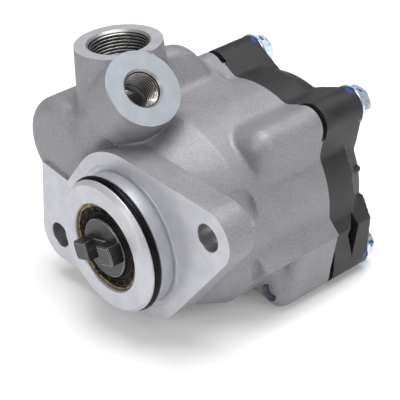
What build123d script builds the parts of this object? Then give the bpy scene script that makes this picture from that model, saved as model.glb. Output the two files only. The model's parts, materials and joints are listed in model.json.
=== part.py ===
from build123d import *

import math
import os

# Hydraulic vane pump for power steering.
# Millimetres. The origin is the centre of the pilot on the flange's mounting face. +Y runs along the shaft from
# the drive end to the rear cover, +Z is up with the pump standing on its two lower bolt lobes, +X is to the right
# seen from the drive end.

# Pilot and mounting flange
pilot_radius = 30.0
pilot_height = 13.0
pilot_chamfer = 1.5
pilot_ring_groove = (-10.0, -6.5)
pilot_ring_groove_depth = 2.4
pilot_ring_width = 3.3
flange_thickness = 13.5
flange_hub_radius = 38.5
flange_ear_radius = 13.0
flange_hole_radius = 6.0
flange_hole_spacing = 114.6
flange_hole_angle = 20.7
nut_recess_radius = 16.0
nut_recess_end = 28.0

# Barrel, bolt lobes and side pad
neck_radius = 38.0
barrel_start = 31.5
joint_station = 76.0
wall_floor = 26.0
barrel_wall = 8.2
lobe_offset = 5.1
upper_bolt_angles = (45.0, 120.0)
lower_bolt_angles = (-45.0, -135.0)
lobe_radius = 8.6
lobe_web_circle = 34.0
lobe_web_radius = 16.5
upper_lobe_start = 40.0
upper_lobe_round = 6.0
lower_lobe_start = 46.0
lower_lobe_round = 5.5
joint_relief_radius = 52.2
housing_relief = 1.0
cover_relief = 1.6
pad_start = 33.0
pad_full_start = 52.0
pad_slope_top = (44.9, -7.6)
pad_side_top = (50.4, -14.2)
pad_short_low = (38.6, -23.0)
flange_side_points = ((-28.2, 26.2), (-41.0, 12.4), (-59.5, 16.0))

# Rear cover
cover_end = 99.7
cover_taper_start = 91.3
cover_taper = 4.2
cover_spigot_length = 6.5
cover_pad_slope_top = (42.8, -6.3)
cover_pad_side_top = (47.1, -16.5)
cover_pocket_floor = 41.0
cover_pocket_corners = ((84.5, -19.3), (89.7, -9.0), (92.0, -16.3), (89.3, -35.3))
rear_recess_radii = (17.0, 32.0)
rear_recess_depth = 8.0
rear_rib_width = 4.5
rear_rib_angles = (0, 45, 90, 135)
bush_length = 13.0
bush_wall = 1.96
bush_clearance = 0.04

# Shaft, seal and bearing
seal_bore_radius = 20.0
seal_bore_depth = 22.5
seal_front = -11.6
seal_width = 6.6
seal_sheet = 0.9
seal_case_rim = 2.7
seal_wall = 1.2
seal_web = 1.6
seal_rubber_width = 5.2
seal_lip_section = (
    (1.6, 1.6), (1.2, 3.0), (1.5, 3.6), (1.2, 4.6), (0.5, 4.6), (0.0, 3.8),
    (0.6, 2.2), (0.6, 0.8), (0.0, -0.4), (0.5, -0.7), (1.6, 0.4), (2.4, 0.0),
)
garter_offset = 2.2
garter_wire = 1.3
shaft_end_radius = 13.5
journal_radius = 8.5
rear_journal_radius = 7.0
shaft_rear_end = 83.0
shaft_centre_hole = 1.6
tang_height = 6.4
tang_width = 8.5
tang_gap = 9.4
tang_angle = 14.0
spline_teeth = 12
spline_root_radius = 7.3
spline_tip_radius = 8.3
bearing_front = -2.5
bearing_width = 12.0
ball_count = 8
ball_radius = 3.37
ball_pitch_radius = 14.25
race_shoulder = 2.35
cage_half_thickness = 1.25
cage_half_width = 4.3
retaining_ring_thickness = 1.2
retaining_groove_depth = 1.0
retaining_ring_width = 2.2
retaining_ring_mouth = (7.0, 8.0)
retaining_eye_offset = 5.2
retaining_eye_radius = 2.2
retaining_eye_hole = 0.9
running_gap = 0.05
side_gap = 0.05

# Pumping set
front_plate_start = 27.2
cam_start = 36.0
cam_width = 22.0
cam_outer_radius = 36.8
cavity_clearance = 0.2
cam_long_radius = 28.8
cam_short_radius = 25.5
cam_angle = 45.0
rotor_radius = 25.0
rear_plate_thickness = 9.0
vane_count = 10
vane_thickness = 2.0
vane_height = 9.5
dowel_radius = 2.5
dowel_depth = 6.0
plate_clearance = 0.4
kidney_angle = 38.0
kidney_span = 34.0
kidney_width = 3.0
kidney_depth = 2.0
suction_kidney_depth = 3.0
undervane_spans = (50.0, 20.0)
undervane_width = 2.6
ring_groove_depth = 2.3
ring_groove_width = 2.8
ring_width = 2.6
ring_inset = 3.4
disc_spring_gap = 3.0
disc_spring_width = 8.0
disc_spring_thickness = 1.0

# Ports and flow-control valve. Both port directions lie in the X-Z plane, given from +X.
pressure_centre = (-0.6, 17.1, 63.0)
pressure_angle = 41.6
pressure_face_radius = 17.0
pressure_boss_length = 22.0
pressure_thread_minor = 7.19
pressure_thread_mouth = 8.1
pressure_thread_depth = 15.0
valve_boss_radius = 14.8
valve_bore_radius = 7.0
valve_bore_depth = 62.0
valve_floor = 6.0
suction_centre = (-27.2, 26.3, 73.6)
suction_angle = 90.0
suction_face_radius = 19.2
suction_root_radius = 22.0
suction_boss_length = 46.0
suction_thread_minor = 12.19
suction_thread_mouth = 13.1
suction_thread_depth = 13.0
spool_top = 26.0
spool_length = 26.0
spool_gap = 0.03
spool_grooves = ((3.0, 6.5, 5.2), (10.0, 12.5, 5.6), (18.0, 19.0, 6.3), (21.0, 22.0, 6.3))
spool_pocket_radius = 4.9
stop_ring_thickness = 1.2
relief_depth = 14.0
relief_seat_length = 2.0
relief_bore_radius = 2.6
relief_hole_radius = 1.2
relief_ball_radius = 2.0
relief_spring_top = 3.85
coil_steps = 10
valve_spring_radius = 4.1
valve_spring_wire = 0.5
valve_spring_turns = 7
relief_spring_radius = 1.7
relief_spring_wire = 0.25
relief_spring_turns = 5
hump_radius = 9.8
hump_points = ((-26.6, 30.0, 53.7), (-18.0, 49.0, 55.5), (-10.2, 49.0, 31.5))
inlet_radius = 6.5
inlet_end = (-15.0, 50.0, 33.1)
outlet_radius = 3.5
outlet_ends = ((-21.1, 30.0, 24.8), (-29.4, 17.1, 37.4))
return_start = (-25.7, 17.1, 40.5)
end_boss_centre = (-49.3, 25.3)
end_boss_radius = 22.0
end_boss_span = (1.5, 42.0)

# Cover bolts, M8 with a flanged hexagon head
bolt_radius = 4.0
bolt_washer_radius = 9.0
bolt_washer_thickness = 1.6
bolt_hexagon_flats = 13.0
bolt_head_height = 7.1
bolt_tip = 49.0
bolt_tip_gap = 1.0

pilot_ring_floor = pilot_radius - pilot_ring_groove_depth
cavity_radius = cam_outer_radius + cavity_clearance
barrel_radius = cavity_radius + barrel_wall
bolt_circle_radius = barrel_radius + lobe_offset
lobe_reach = bolt_circle_radius + lobe_radius + 1
dowel_circle_radius = (cam_short_radius + cam_outer_radius) / 2
vane_slot_bottom = rotor_radius - vane_height - 0.6
bush_radius = rear_journal_radius + bush_clearance + bush_wall
bearing_rear = bearing_front + bearing_width
retaining_ring_front = bearing_front - 0.1 - retaining_ring_thickness
bearing_middle = bearing_front + bearing_width / 2
cam_end = cam_start + cam_width
cam_middle = cam_start + cam_width / 2
rear_plate_end = cam_end + rear_plate_thickness
spigot_front = joint_station - cover_spigot_length
front_ring_station = front_plate_start + ring_inset
rear_ring_station = rear_plate_end - ring_inset
cover_ring_station = spigot_front + ring_inset
ring_floor = cavity_radius - ring_groove_depth
port_circle_radius = (rotor_radius + cam_long_radius) / 2 - 0.3
bolt_angles = upper_bolt_angles + lower_bolt_angles
lower_right = math.radians(lower_bolt_angles[0])
lobe_side = (
    bolt_circle_radius * math.cos(lower_right) + lobe_radius,
    bolt_circle_radius * math.sin(lower_right),
)


def on_circle(radius, angle):
    """The X and Z of a point on a circle about the shaft."""
    turn = math.radians(angle)
    return radius * math.cos(turn), radius * math.sin(turn)


def along(front, rear, outline):
    """A flat X-Z outline carried along the shaft from one station to another."""
    return extrude(Plane.XZ.offset(-rear) * outline, amount=rear - front, dir=(0, -1, 0))


def disc(radius, front, rear):
    """A round solid on the shaft axis."""
    return along(front, rear, Circle(radius))


def ring(outer, inner, front, rear):
    """A plain ring on the shaft axis."""
    return along(front, rear, Circle(outer) - Circle(inner))


def turned(*points):
    """A section of (radius, station) points turned about the shaft axis."""
    return revolve(make_face(Polyline(*points, close=True)), Axis.Y)


def torus_ring(radius, section, station):
    """A round-section ring about the shaft axis."""
    return Pos(0, station, 0) * Rot(90, 0, 0) * Torus(radius, section / 2)


def squeezed_ring(inner, outer, middle, width):
    """A rubber ring as it lies squeezed in its groove: flat inside and outside, with sloped shoulders."""
    shoulder = (outer - inner) * 0.3
    half, flat = width / 2, width / 2 - shoulder
    return turned(
        (inner, middle - flat), (inner + shoulder, middle - half), (outer - shoulder, middle - half),
        (outer, middle - flat), (outer, middle + flat), (outer - shoulder, middle + half),
        (inner + shoulder, middle + half), (inner, middle + flat),
    )


def port_plane(centre, angle):
    """A plane on a port's face, with its normal out of the port and its first axis along the shaft."""
    x, z = on_circle(1, angle)
    return Plane(origin=centre, x_dir=(0, 1, 0), z_dir=(x, 0, z))


def down(plane, radius, top, bottom, end_radius=None):
    """A round or tapered solid below a port's face, from one depth to another."""
    section = Polyline((0, -top), (radius, -top), (end_radius or radius, -bottom), (0, -bottom), close=True)
    return plane.location * revolve(Plane.XZ * make_face(section), Axis.Z)


def drilled(start, end, radius):
    """A straight drilled passage between two points."""
    path = Vector(*end) - Vector(*start)
    plane = Plane(origin=start, z_dir=path)
    return plane.location * extrude(Circle(radius), amount=path.length)


pressure_plane = port_plane(pressure_centre, pressure_angle)
suction_plane = port_plane(suction_centre, suction_angle)


def flange_plate():
    """Two-eared flange, with the flat left side that the end boss grows from."""
    reach = flange_hole_spacing / 2
    ears = [Pos(*on_circle(reach, flange_hole_angle + half)) * Circle(flange_ear_radius) for half in (0, 180)]
    outline = make_hull((Circle(flange_hub_radius) + ears).edges())
    left_x, left_z = on_circle(reach, flange_hole_angle + 180)
    side = Polygon(*flange_side_points, (left_x - flange_ear_radius, left_z), (left_x, left_z), align=None)
    return along(0, flange_thickness, outline + side)


def bolt_lobe(angle, front, rear, end_round=0):
    """One round bolt lobe with its web into the barrel, its front edge rounded if a radius is given."""
    x, z = on_circle(bolt_circle_radius, angle)
    root = Pos(*on_circle(lobe_web_circle, angle)) * Circle(lobe_web_radius)
    web = make_hull((Pos(x, z) * Circle(lobe_radius) + root).edges())
    body = along(front, rear, web)
    return fillet(body.faces().sort_by(Axis.Y)[0].edges(), end_round) if end_round else body


def side_pad(front, rear, slope_top, side_top, low):
    """Flat-sided pad above the lower right lobe: a slope, an upright side and a lower edge."""
    inside = 20
    outline = Polygon(slope_top, side_top, low, (inside, low[1]), (inside, slope_top[1]), align=None)
    return along(front, rear, outline)


def inlet_hump():
    """Rounded rib that carries the suction passage from its boss to the barrel."""
    start, dome, foot = hump_points
    return (
        drilled(start, dome, hump_radius)
        + Pos(*dome) * Sphere(hump_radius)
        + drilled(dome, foot, hump_radius)
    )


def housing_casting():
    """The outer form of the housing before machining."""
    neck = turned(
        (0, 6), (neck_radius, 6), (neck_radius, flange_thickness),
        (barrel_radius, barrel_start), (barrel_radius, joint_station), (0, joint_station),
    )
    body = flange_plate() + neck + disc(pilot_radius, -pilot_height, 1)
    for angle in upper_bolt_angles:
        body += bolt_lobe(angle, upper_lobe_start, joint_station, upper_lobe_round)
    for angle in lower_bolt_angles:
        body += bolt_lobe(angle, lower_lobe_start, joint_station, lower_lobe_round)
    body += side_pad(pad_start, joint_station, pad_slope_top, pad_side_top, pad_short_low)
    body += side_pad(pad_full_start, joint_station, pad_slope_top, pad_side_top, lobe_side)
    body -= ring(lobe_reach, joint_relief_radius, joint_station - housing_relief, joint_station)
    end_boss = along(*end_boss_span, Pos(*end_boss_centre) * Circle(end_boss_radius))
    body += fillet(end_boss.edges(), 6.0)
    body += down(pressure_plane, pressure_face_radius, 0, pressure_boss_length)
    body += down(pressure_plane, valve_boss_radius, 10, valve_bore_depth + valve_floor)
    body += down(suction_plane, suction_face_radius, 0, suction_boss_length, suction_root_radius)
    body += inlet_hump()
    return body


def thread_bore(plane, minor, mouth, depth):
    """A tapping bore with its countersunk mouth and drill point."""
    bore = down(plane, minor, -1, depth)
    lead = down(plane, mouth + 1, -1, mouth - minor, minor)
    return bore + lead


def make_housing():
    body = housing_casting()
    seat = pilot_height
    body -= ring(pilot_radius + 2, pilot_ring_floor, *pilot_ring_groove)
    body -= turned(
        (pilot_radius - pilot_chamfer, -seat), (pilot_radius + 1, -seat), (pilot_radius + 1, 2 - seat),
        (pilot_radius, 2 - seat),
    )
    seal_bore_end = seal_bore_depth - seat
    body -= disc(seal_bore_radius, -seat, seal_bore_end)
    body -= turned((0, -seat), (seal_bore_radius + 0.3, -seat), (seal_bore_radius, 0.3 - seat), (0, 0.3 - seat))
    body -= disc(seal_bore_radius + retaining_groove_depth, retaining_ring_front - 0.1, bearing_front)
    body -= disc(journal_radius + 1, seal_bore_end, wall_floor)
    body -= disc(cavity_radius, wall_floor, joint_station)
    for half in (0, 180):
        x, z = on_circle(flange_hole_spacing / 2, flange_hole_angle + half)
        body -= along(-1, flange_thickness + 1, Pos(x, z) * Circle(flange_hole_radius))
        body -= along(flange_thickness, nut_recess_end, Pos(x, z) * Circle(nut_recess_radius))
        body -= Pos(x, nut_recess_end, z) * Sphere(nut_recess_radius)
    for angle in bolt_angles:
        hole_end = lower_lobe_start - 1 if angle in lower_bolt_angles else bolt_tip - bolt_tip_gap
        body -= along(hole_end, joint_station, Pos(*on_circle(bolt_circle_radius, angle)) * Circle(bolt_radius))
    body -= thread_bore(pressure_plane, pressure_thread_minor, pressure_thread_mouth, pressure_thread_depth)
    body -= down(pressure_plane, valve_bore_radius, 10, valve_bore_depth)
    body -= down(pressure_plane, valve_bore_radius + 0.8, spool_top - stop_ring_thickness - 0.3, spool_top - 0.1)
    body -= thread_bore(suction_plane, suction_thread_minor, suction_thread_mouth, suction_thread_depth)
    suction_floor = tuple((suction_plane.location * Pos(5, 0, -suction_thread_depth + 2)).position)
    body -= drilled(suction_floor, inlet_end, inlet_radius)
    body -= drilled(*outlet_ends, outlet_radius)
    body -= drilled(return_start, suction_floor, outlet_radius)
    return body


def make_cover():
    rear_radius = barrel_radius - cover_taper
    body = turned(
        (0, joint_station), (barrel_radius, joint_station), (barrel_radius, cover_taper_start),
        (rear_radius, cover_end - 2), (rear_radius - 2, cover_end), (0, cover_end),
    )
    for angle in bolt_angles:
        body += bolt_lobe(angle, joint_station, cover_end)
    body += side_pad(joint_station, cover_end, cover_pad_slope_top, cover_pad_side_top, lobe_side)
    body -= ring(lobe_reach, joint_relief_radius, joint_station, joint_station + cover_relief)
    body += disc(cavity_radius - 0.1, spigot_front, joint_station + 1)
    groove_front = cover_ring_station - ring_groove_width / 2
    body -= ring(cavity_radius + 1, ring_floor, groove_front, groove_front + ring_groove_width)
    body -= disc(bush_radius, spigot_front - 1, spigot_front + 1.5 + bush_length)
    recess_inner, recess_outer = rear_recess_radii
    recess = ring(recess_outer, recess_inner, cover_end - rear_recess_depth, cover_end + 1)
    for spoke in rear_rib_angles:
        rib = Rot(0, 0, spoke) * Rectangle(3 * recess_outer, rear_rib_width)
        recess -= along(cover_end - rear_recess_depth - 1, cover_end + 2, rib)
    body -= recess
    pocket = Polygon(*cover_pocket_corners, align=None)
    body -= Pos(cover_pocket_floor, 0, 0) * extrude(Plane.YZ * pocket, amount=20, dir=(1, 0, 0))
    for angle in bolt_angles:
        x, z = on_circle(bolt_circle_radius, angle)
        body -= along(joint_station, cover_end + 1, Pos(x, z) * Circle(bolt_radius + 0.5))
    return body


def make_bolts():
    """Four flanged hexagon bolts."""
    hexagon = RegularPolygon(bolt_hexagon_flats / 2, 6, major_radius=False)
    bolts = []
    for angle in bolt_angles:
        x, z = on_circle(bolt_circle_radius, angle)
        washer_top = cover_end + bolt_washer_thickness
        head = along(washer_top, cover_end + bolt_head_height, Pos(x, z) * hexagon)
        head = chamfer(head.faces().sort_by(Axis.Y)[-1].edges(), 0.6)
        washer = along(cover_end, washer_top, Pos(x, z) * Circle(bolt_washer_radius))
        shank = along(bolt_tip, cover_end, Pos(x, z) * Circle(bolt_radius))
        shank = chamfer(shank.faces().sort_by(Axis.Y)[0].edges(), 0.8)
        bolts.append(shank + washer + head)
    return Compound(children=bolts)


def make_seal_case():
    rear = seal_front + seal_width
    sheet = seal_sheet
    bore = seal_bore_radius
    rim = bore - seal_case_rim
    return turned(
        (rim, seal_front), (bore, seal_front), (bore, rear), (bore - sheet, rear), (bore - sheet, seal_front + sheet),
        (rim, seal_front + sheet),
    )


def make_seal_lip():
    front = seal_front + seal_sheet
    wall = seal_bore_radius - seal_sheet
    rear = front + seal_rubber_width
    lip = shaft_end_radius + running_gap
    return turned(
        (wall, front), (wall, rear), (wall - seal_wall, rear), (wall - seal_wall, front + seal_web),
        *[(lip + out, front + behind) for out, behind in seal_lip_section],
    )


def make_garter_spring():
    inner = shaft_end_radius + running_gap + garter_offset - garter_wire / 2
    return squeezed_ring(inner, inner + garter_wire, seal_front + 4.7, garter_wire)


def make_bearing():
    """Outer race, inner race, cage and balls of the deep-groove bearing."""
    pitch = ball_pitch_radius
    groove = torus_ring(pitch, 2 * (ball_radius + running_gap), bearing_middle)
    outer = ring(seal_bore_radius, pitch + race_shoulder, bearing_front, bearing_rear) - groove
    inner = ring(pitch - race_shoulder, journal_radius, bearing_front, bearing_rear) - groove
    cage = ring(
        pitch + cage_half_thickness, pitch - cage_half_thickness,
        bearing_middle - cage_half_width, bearing_middle + cage_half_width,
    )
    balls = []
    for index in range(ball_count):
        x, z = on_circle(pitch, 360 * index / ball_count)
        pocket = extrude(Plane.YZ * Circle(ball_radius + 0.1), amount=8 * cage_half_thickness)
        turn = Rot(0, -360 * index / ball_count, 0)
        cage -= turn * Pos(pitch - 4 * cage_half_thickness, bearing_middle, 0) * pocket
        balls.append(Pos(x, bearing_middle, z) * Sphere(ball_radius))
    return outer, inner, cage, Compound(children=balls)


def make_bearing_ring():
    """Internal retaining ring with its gap and two eyes."""
    ring_inner = seal_bore_radius - retaining_ring_width
    outline = Circle(seal_bore_radius + retaining_groove_depth - 0.1) - Circle(ring_inner)
    outline -= Pos(0, -seal_bore_radius) * Rectangle(*retaining_ring_mouth)
    for side in (-1, 1):
        eye = Circle(retaining_eye_radius) - Circle(retaining_eye_hole)
        outline += Pos(side * retaining_eye_offset, 0.6 - ring_inner) * eye
    return along(retaining_ring_front, retaining_ring_front + retaining_ring_thickness, outline)


def spline_section(root, tip, tooth_width):
    """Straight-sided spline section."""
    section = Circle(root)
    for index in range(spline_teeth):
        turn = 360 * index / spline_teeth
        section += Rot(0, 0, turn) * Pos((root + tip) / 2 - 0.5, 0) * Rectangle(tip - root + 1, tooth_width)
    return section & Circle(tip)


def make_shaft():
    body = disc(shaft_end_radius, -pilot_height, bearing_front)
    body = chamfer(body.faces().sort_by(Axis.Y)[0].edges(), 0.4)
    body += disc(journal_radius, bearing_front, cam_start - 1)
    body += along(cam_start - 1, cam_end + 2, spline_section(spline_root_radius, spline_tip_radius, 2.1))
    body += disc(rear_journal_radius, cam_end + 1, shaft_rear_end)
    body -= ring(spline_tip_radius + 1, spline_root_radius - 0.5, cam_end + 0.2, cam_end + 1.4)
    tang = Rectangle(2 * shaft_end_radius, tang_width) & Circle(shaft_end_radius - 0.1)
    tang -= Circle(tang_gap / 2)
    tang -= Rectangle(tang_gap * 0.98, 2 * tang_width)
    tang_top = -pilot_height - tang_height
    lugs = along(tang_top, -pilot_height, Rot(0, 0, tang_angle) * tang)
    lugs = chamfer(lugs.faces().sort_by(Axis.Y)[:2].edges(), 0.5)
    body += lugs
    body -= disc(shaft_centre_hole, -pilot_height, -pilot_height + 7)
    return body


def make_rotor():
    outline = Circle(rotor_radius) - spline_section(spline_root_radius + 0.1, spline_tip_radius + 0.1, 2.3)
    for index in range(vane_count):
        turn = Rot(0, 0, 360 * index / vane_count)
        reach = rotor_radius + 5
        slot = Rectangle(reach - vane_slot_bottom, vane_thickness + 0.08)
        outline -= turn * Pos((vane_slot_bottom + reach) / 2, 0) * slot
        outline -= turn * Pos(vane_slot_bottom, 0) * Circle(0.9 * vane_thickness)
    return along(cam_start + side_gap, cam_end - side_gap, outline)


def make_vane(index):
    """One vane, drawn in to the rotor's rim, with a rounded tip."""
    bottom = rotor_radius - vane_height - 0.2
    tip = rotor_radius - 0.2
    blade = Pos((bottom + tip) / 2, 0) * Rectangle(tip - bottom, vane_thickness)
    blade &= Pos(tip - 5, 0) * Circle(5) + Pos(bottom, 0) * Rectangle(2 * vane_height - 8, 8)
    width = side_gap + 0.03
    return along(cam_start + width, cam_end - width, Rot(0, 0, 360 * index / vane_count) * blade)


def make_rotor_ring():
    """Retaining ring on the shaft behind the rotor."""
    outline = Circle(spline_tip_radius + 1.9) - Circle(spline_root_radius - 0.45)
    outline -= Pos(0, -spline_tip_radius) * Rectangle(7, 8)
    return along(cam_end + 0.3, cam_end + 1.3, outline)


def dowel_holes(front, rear):
    """Two holes for the dowel pins, on the cam ring's thick sides."""
    spots = [Pos(*on_circle(dowel_circle_radius, cam_angle + turn)) for turn in (90, 270)]
    return [along(front, rear, spot * Circle(dowel_radius + 0.02)) for spot in spots]


def make_cam_ring():
    track = Rot(0, 0, cam_angle) * Ellipse(cam_long_radius, cam_short_radius)
    body = along(cam_start, cam_end, Circle(cam_outer_radius) - track)
    for hole in dowel_holes(cam_start, cam_end):
        body -= hole
    for turn in (-35, 145):
        notch = Rot(0, 0, cam_angle + turn) * Pos(cam_outer_radius, 0) * Rectangle(7, 16)
        body -= along(cam_middle - 5, cam_middle + 5, notch)
    return body


def kidney(angle, span, radius, height):
    """A curved port centred at an angle from the cam's long axis."""
    arc = CenterArc((0, 0), radius, cam_angle + angle - span / 2, span)
    return SlotArc(arc, height)


def plate_blank(front, rear, ring_middle):
    """A side plate with its O-ring groove."""
    body = ring(cam_outer_radius + 0.1, journal_radius + plate_clearance, front, rear)
    groove_front = ring_middle - ring_groove_width / 2
    return body - ring(cavity_radius + 1, ring_floor, groove_front, groove_front + ring_groove_width)


def make_front_plate():
    body = plate_blank(front_plate_start, cam_start, front_ring_station)
    for turn in (0, 180):
        outlet, inlet = turn + kidney_angle, turn - kidney_angle
        shallow = cam_start - kidney_depth
        body -= along(front_plate_start, cam_start, kidney(outlet, kidney_span, port_circle_radius, kidney_width))
        body -= along(shallow, cam_start, kidney(inlet, kidney_span, port_circle_radius, kidney_width))
        body -= along(shallow, cam_start, kidney(outlet, undervane_spans[0], vane_slot_bottom, undervane_width))
        body -= along(
            front_plate_start, cam_start, kidney(inlet, undervane_spans[1], vane_slot_bottom, undervane_width)
        )
    for hole in dowel_holes(cam_start - dowel_depth, cam_start):
        body -= hole
    return body


def make_rear_plate():
    body = plate_blank(cam_end, rear_plate_end, rear_ring_station)
    body -= disc(spline_tip_radius + 2.7, cam_end, cam_end + 2)
    for turn in (0, 180):
        for side, depth in ((-kidney_angle, suction_kidney_depth), (kidney_angle, kidney_depth)):
            body -= along(cam_end, cam_end + depth, kidney(turn + side, kidney_span, port_circle_radius, kidney_width))
    for hole in dowel_holes(cam_end, cam_end + dowel_depth):
        body -= hole
    return body


def make_dowels():
    pins = []
    for turn in (90, 270):
        spot = Pos(*on_circle(dowel_circle_radius, cam_angle + turn))
        pin = along(cam_start - dowel_depth + 0.2, cam_end + dowel_depth - 0.2, spot * Circle(dowel_radius))
        pins.append(chamfer(pin.edges().filter_by(GeomType.CIRCLE), 0.4))
    return Compound(children=pins)


def make_disc_spring():
    outer = cavity_radius - disc_spring_gap
    inner, sheet = outer - disc_spring_width, disc_spring_thickness
    return turned(
        (inner, rear_plate_end + 0.1), (inner + 1, rear_plate_end), (outer, spigot_front - sheet - 0.1),
        (outer, spigot_front - 0.1), (outer - 1, spigot_front), (inner, rear_plate_end + sheet + 0.1),
    )


def make_bush():
    return ring(bush_radius, rear_journal_radius + bush_clearance, spigot_front + 1.0, spigot_front + 1.0 + bush_length)


def coil(plane, top, bottom, mean_radius, wire_radius, turns):
    """A compression spring between two depths below a port's face, lofted through sections of its wire."""
    height = bottom - top - 2 * wire_radius
    steps = coil_steps * turns
    sections = []
    for step in range(steps + 1):
        turn = 2 * math.pi * turns * step / steps
        outwards = (math.cos(turn), math.sin(turn), 0)
        spot = (mean_radius * outwards[0], mean_radius * outwards[1], height * step / steps)
        onwards = (-math.sin(turn), math.cos(turn), height / (2 * math.pi * turns * mean_radius))
        sections.append(Plane(origin=spot, x_dir=outwards, z_dir=onwards) * RegularPolygon(wire_radius, 6))
    return plane.location * Pos(0, 0, -bottom + wire_radius) * loft(sections, ruled=True)


spool_bottom = spool_top + spool_length
relief_seat_top = spool_top + relief_depth
relief_seat_end = relief_seat_top + relief_seat_length


def make_spool():
    """Flow-control spool with its lands, spring pocket and relief bore."""
    outer = valve_bore_radius - spool_gap
    body = down(pressure_plane, outer, spool_top, spool_bottom)
    for top, bottom, radius in spool_grooves:
        start, end = spool_top + top, spool_top + bottom
        body -= down(pressure_plane, outer + 1, start, end) - down(pressure_plane, radius, start, end)
    body -= down(pressure_plane, spool_pocket_radius, relief_seat_end, spool_bottom)
    body -= down(pressure_plane, relief_bore_radius, spool_top + relief_spring_top - 0.05, relief_seat_end)
    body -= down(pressure_plane, 1.0, spool_top, spool_top + 2.0)
    across = spool_top + (spool_grooves[1][0] + spool_grooves[1][1]) / 2
    body -= pressure_plane.location * Pos(0, 0, -across) * Rot(90, 0, 0) * Cylinder(1.0, 4 * outer)
    return body


def make_stop_ring():
    """Open ring in the groove above the spool."""
    outline = Circle(valve_bore_radius + 0.7) - Circle(valve_bore_radius - 1.4)
    outline -= Pos(0, valve_bore_radius) * Rectangle(5, 6)
    return pressure_plane.location * Pos(0, 0, -spool_top + 0.15) * extrude(outline, amount=stop_ring_thickness)


def make_relief_seat():
    seat = down(pressure_plane, relief_bore_radius, relief_seat_top, relief_seat_end)
    return seat - down(pressure_plane, relief_hole_radius, relief_seat_top, relief_seat_end)


ball_depth = relief_seat_top - math.sqrt(relief_ball_radius**2 - relief_hole_radius**2)


def make_relief_ball():
    return pressure_plane.location * Pos(0, 0, -ball_depth + 0.02) * Sphere(relief_ball_radius)


parts = {
    "housing": make_housing(),
    "rear_cover": make_cover(),
    "cover_bolts": make_bolts(),
    "pilot_o_ring": squeezed_ring(pilot_ring_floor, pilot_radius, sum(pilot_ring_groove) / 2, pilot_ring_width),
    "seal_case": make_seal_case(),
    "seal_lip": make_seal_lip(),
    "garter_spring": make_garter_spring(),
    "bearing_retaining_ring": make_bearing_ring(),
    "drive_shaft": make_shaft(),
    "rotor": make_rotor(),
    "rotor_retaining_ring": make_rotor_ring(),
    "cam_ring": make_cam_ring(),
    "front_side_plate": make_front_plate(),
    "rear_side_plate": make_rear_plate(),
    "dowel_pins": make_dowels(),
    "front_plate_o_ring": squeezed_ring(ring_floor, cavity_radius, front_ring_station, ring_width),
    "rear_plate_o_ring": squeezed_ring(ring_floor, cavity_radius, rear_ring_station, ring_width),
    "cover_o_ring": squeezed_ring(ring_floor, cavity_radius, cover_ring_station, ring_width),
    "plate_spring": make_disc_spring(),
    "rear_bush": make_bush(),
    "valve_spool": make_spool(),
    "valve_spring": coil(
        pressure_plane, relief_seat_end + 0.1, valve_bore_depth - 0.05,
        valve_spring_radius, valve_spring_wire, valve_spring_turns,
    ),
    "valve_stop_ring": make_stop_ring(),
    "relief_seat": make_relief_seat(),
    "relief_ball": make_relief_ball(),
    "relief_spring": coil(
        pressure_plane, spool_top + relief_spring_top, ball_depth - relief_ball_radius,
        relief_spring_radius, relief_spring_wire, relief_spring_turns,
    ),
}
outer_race, inner_race, cage, balls = make_bearing()
parts["bearing_outer_race"] = outer_race
parts["bearing_inner_race"] = inner_race
parts["bearing_cage"] = cage
parts["bearing_balls"] = balls
for number in range(vane_count):
    parts[f"vane_{number + 1}"] = make_vane(number)

os.makedirs("parts", exist_ok=True)
for name, solid in parts.items():
    export_step(solid, f"parts/{name}.step")
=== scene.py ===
"""Power steering pump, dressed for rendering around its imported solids.

The castings are worked out as distance fields on a grid, so that their bosses, lobes and ribs run into each
other with real fillets, and are then machined with turned cutters, as the real housing and cover are.
Threads, seal, bolts and O-ring are numpy surfaces. The shaft's end is its solid with softened edges, and the
hidden inner pieces keep their solids and get their finishes. All sizes are in millimetres in the object's
own frame and are scaled to metres when a mesh is made.
"""
from __future__ import annotations

import json
import logging
import math
from collections.abc import Callable, Sequence
from dataclasses import dataclass, field
from enum import Enum
from typing import Protocol

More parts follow.
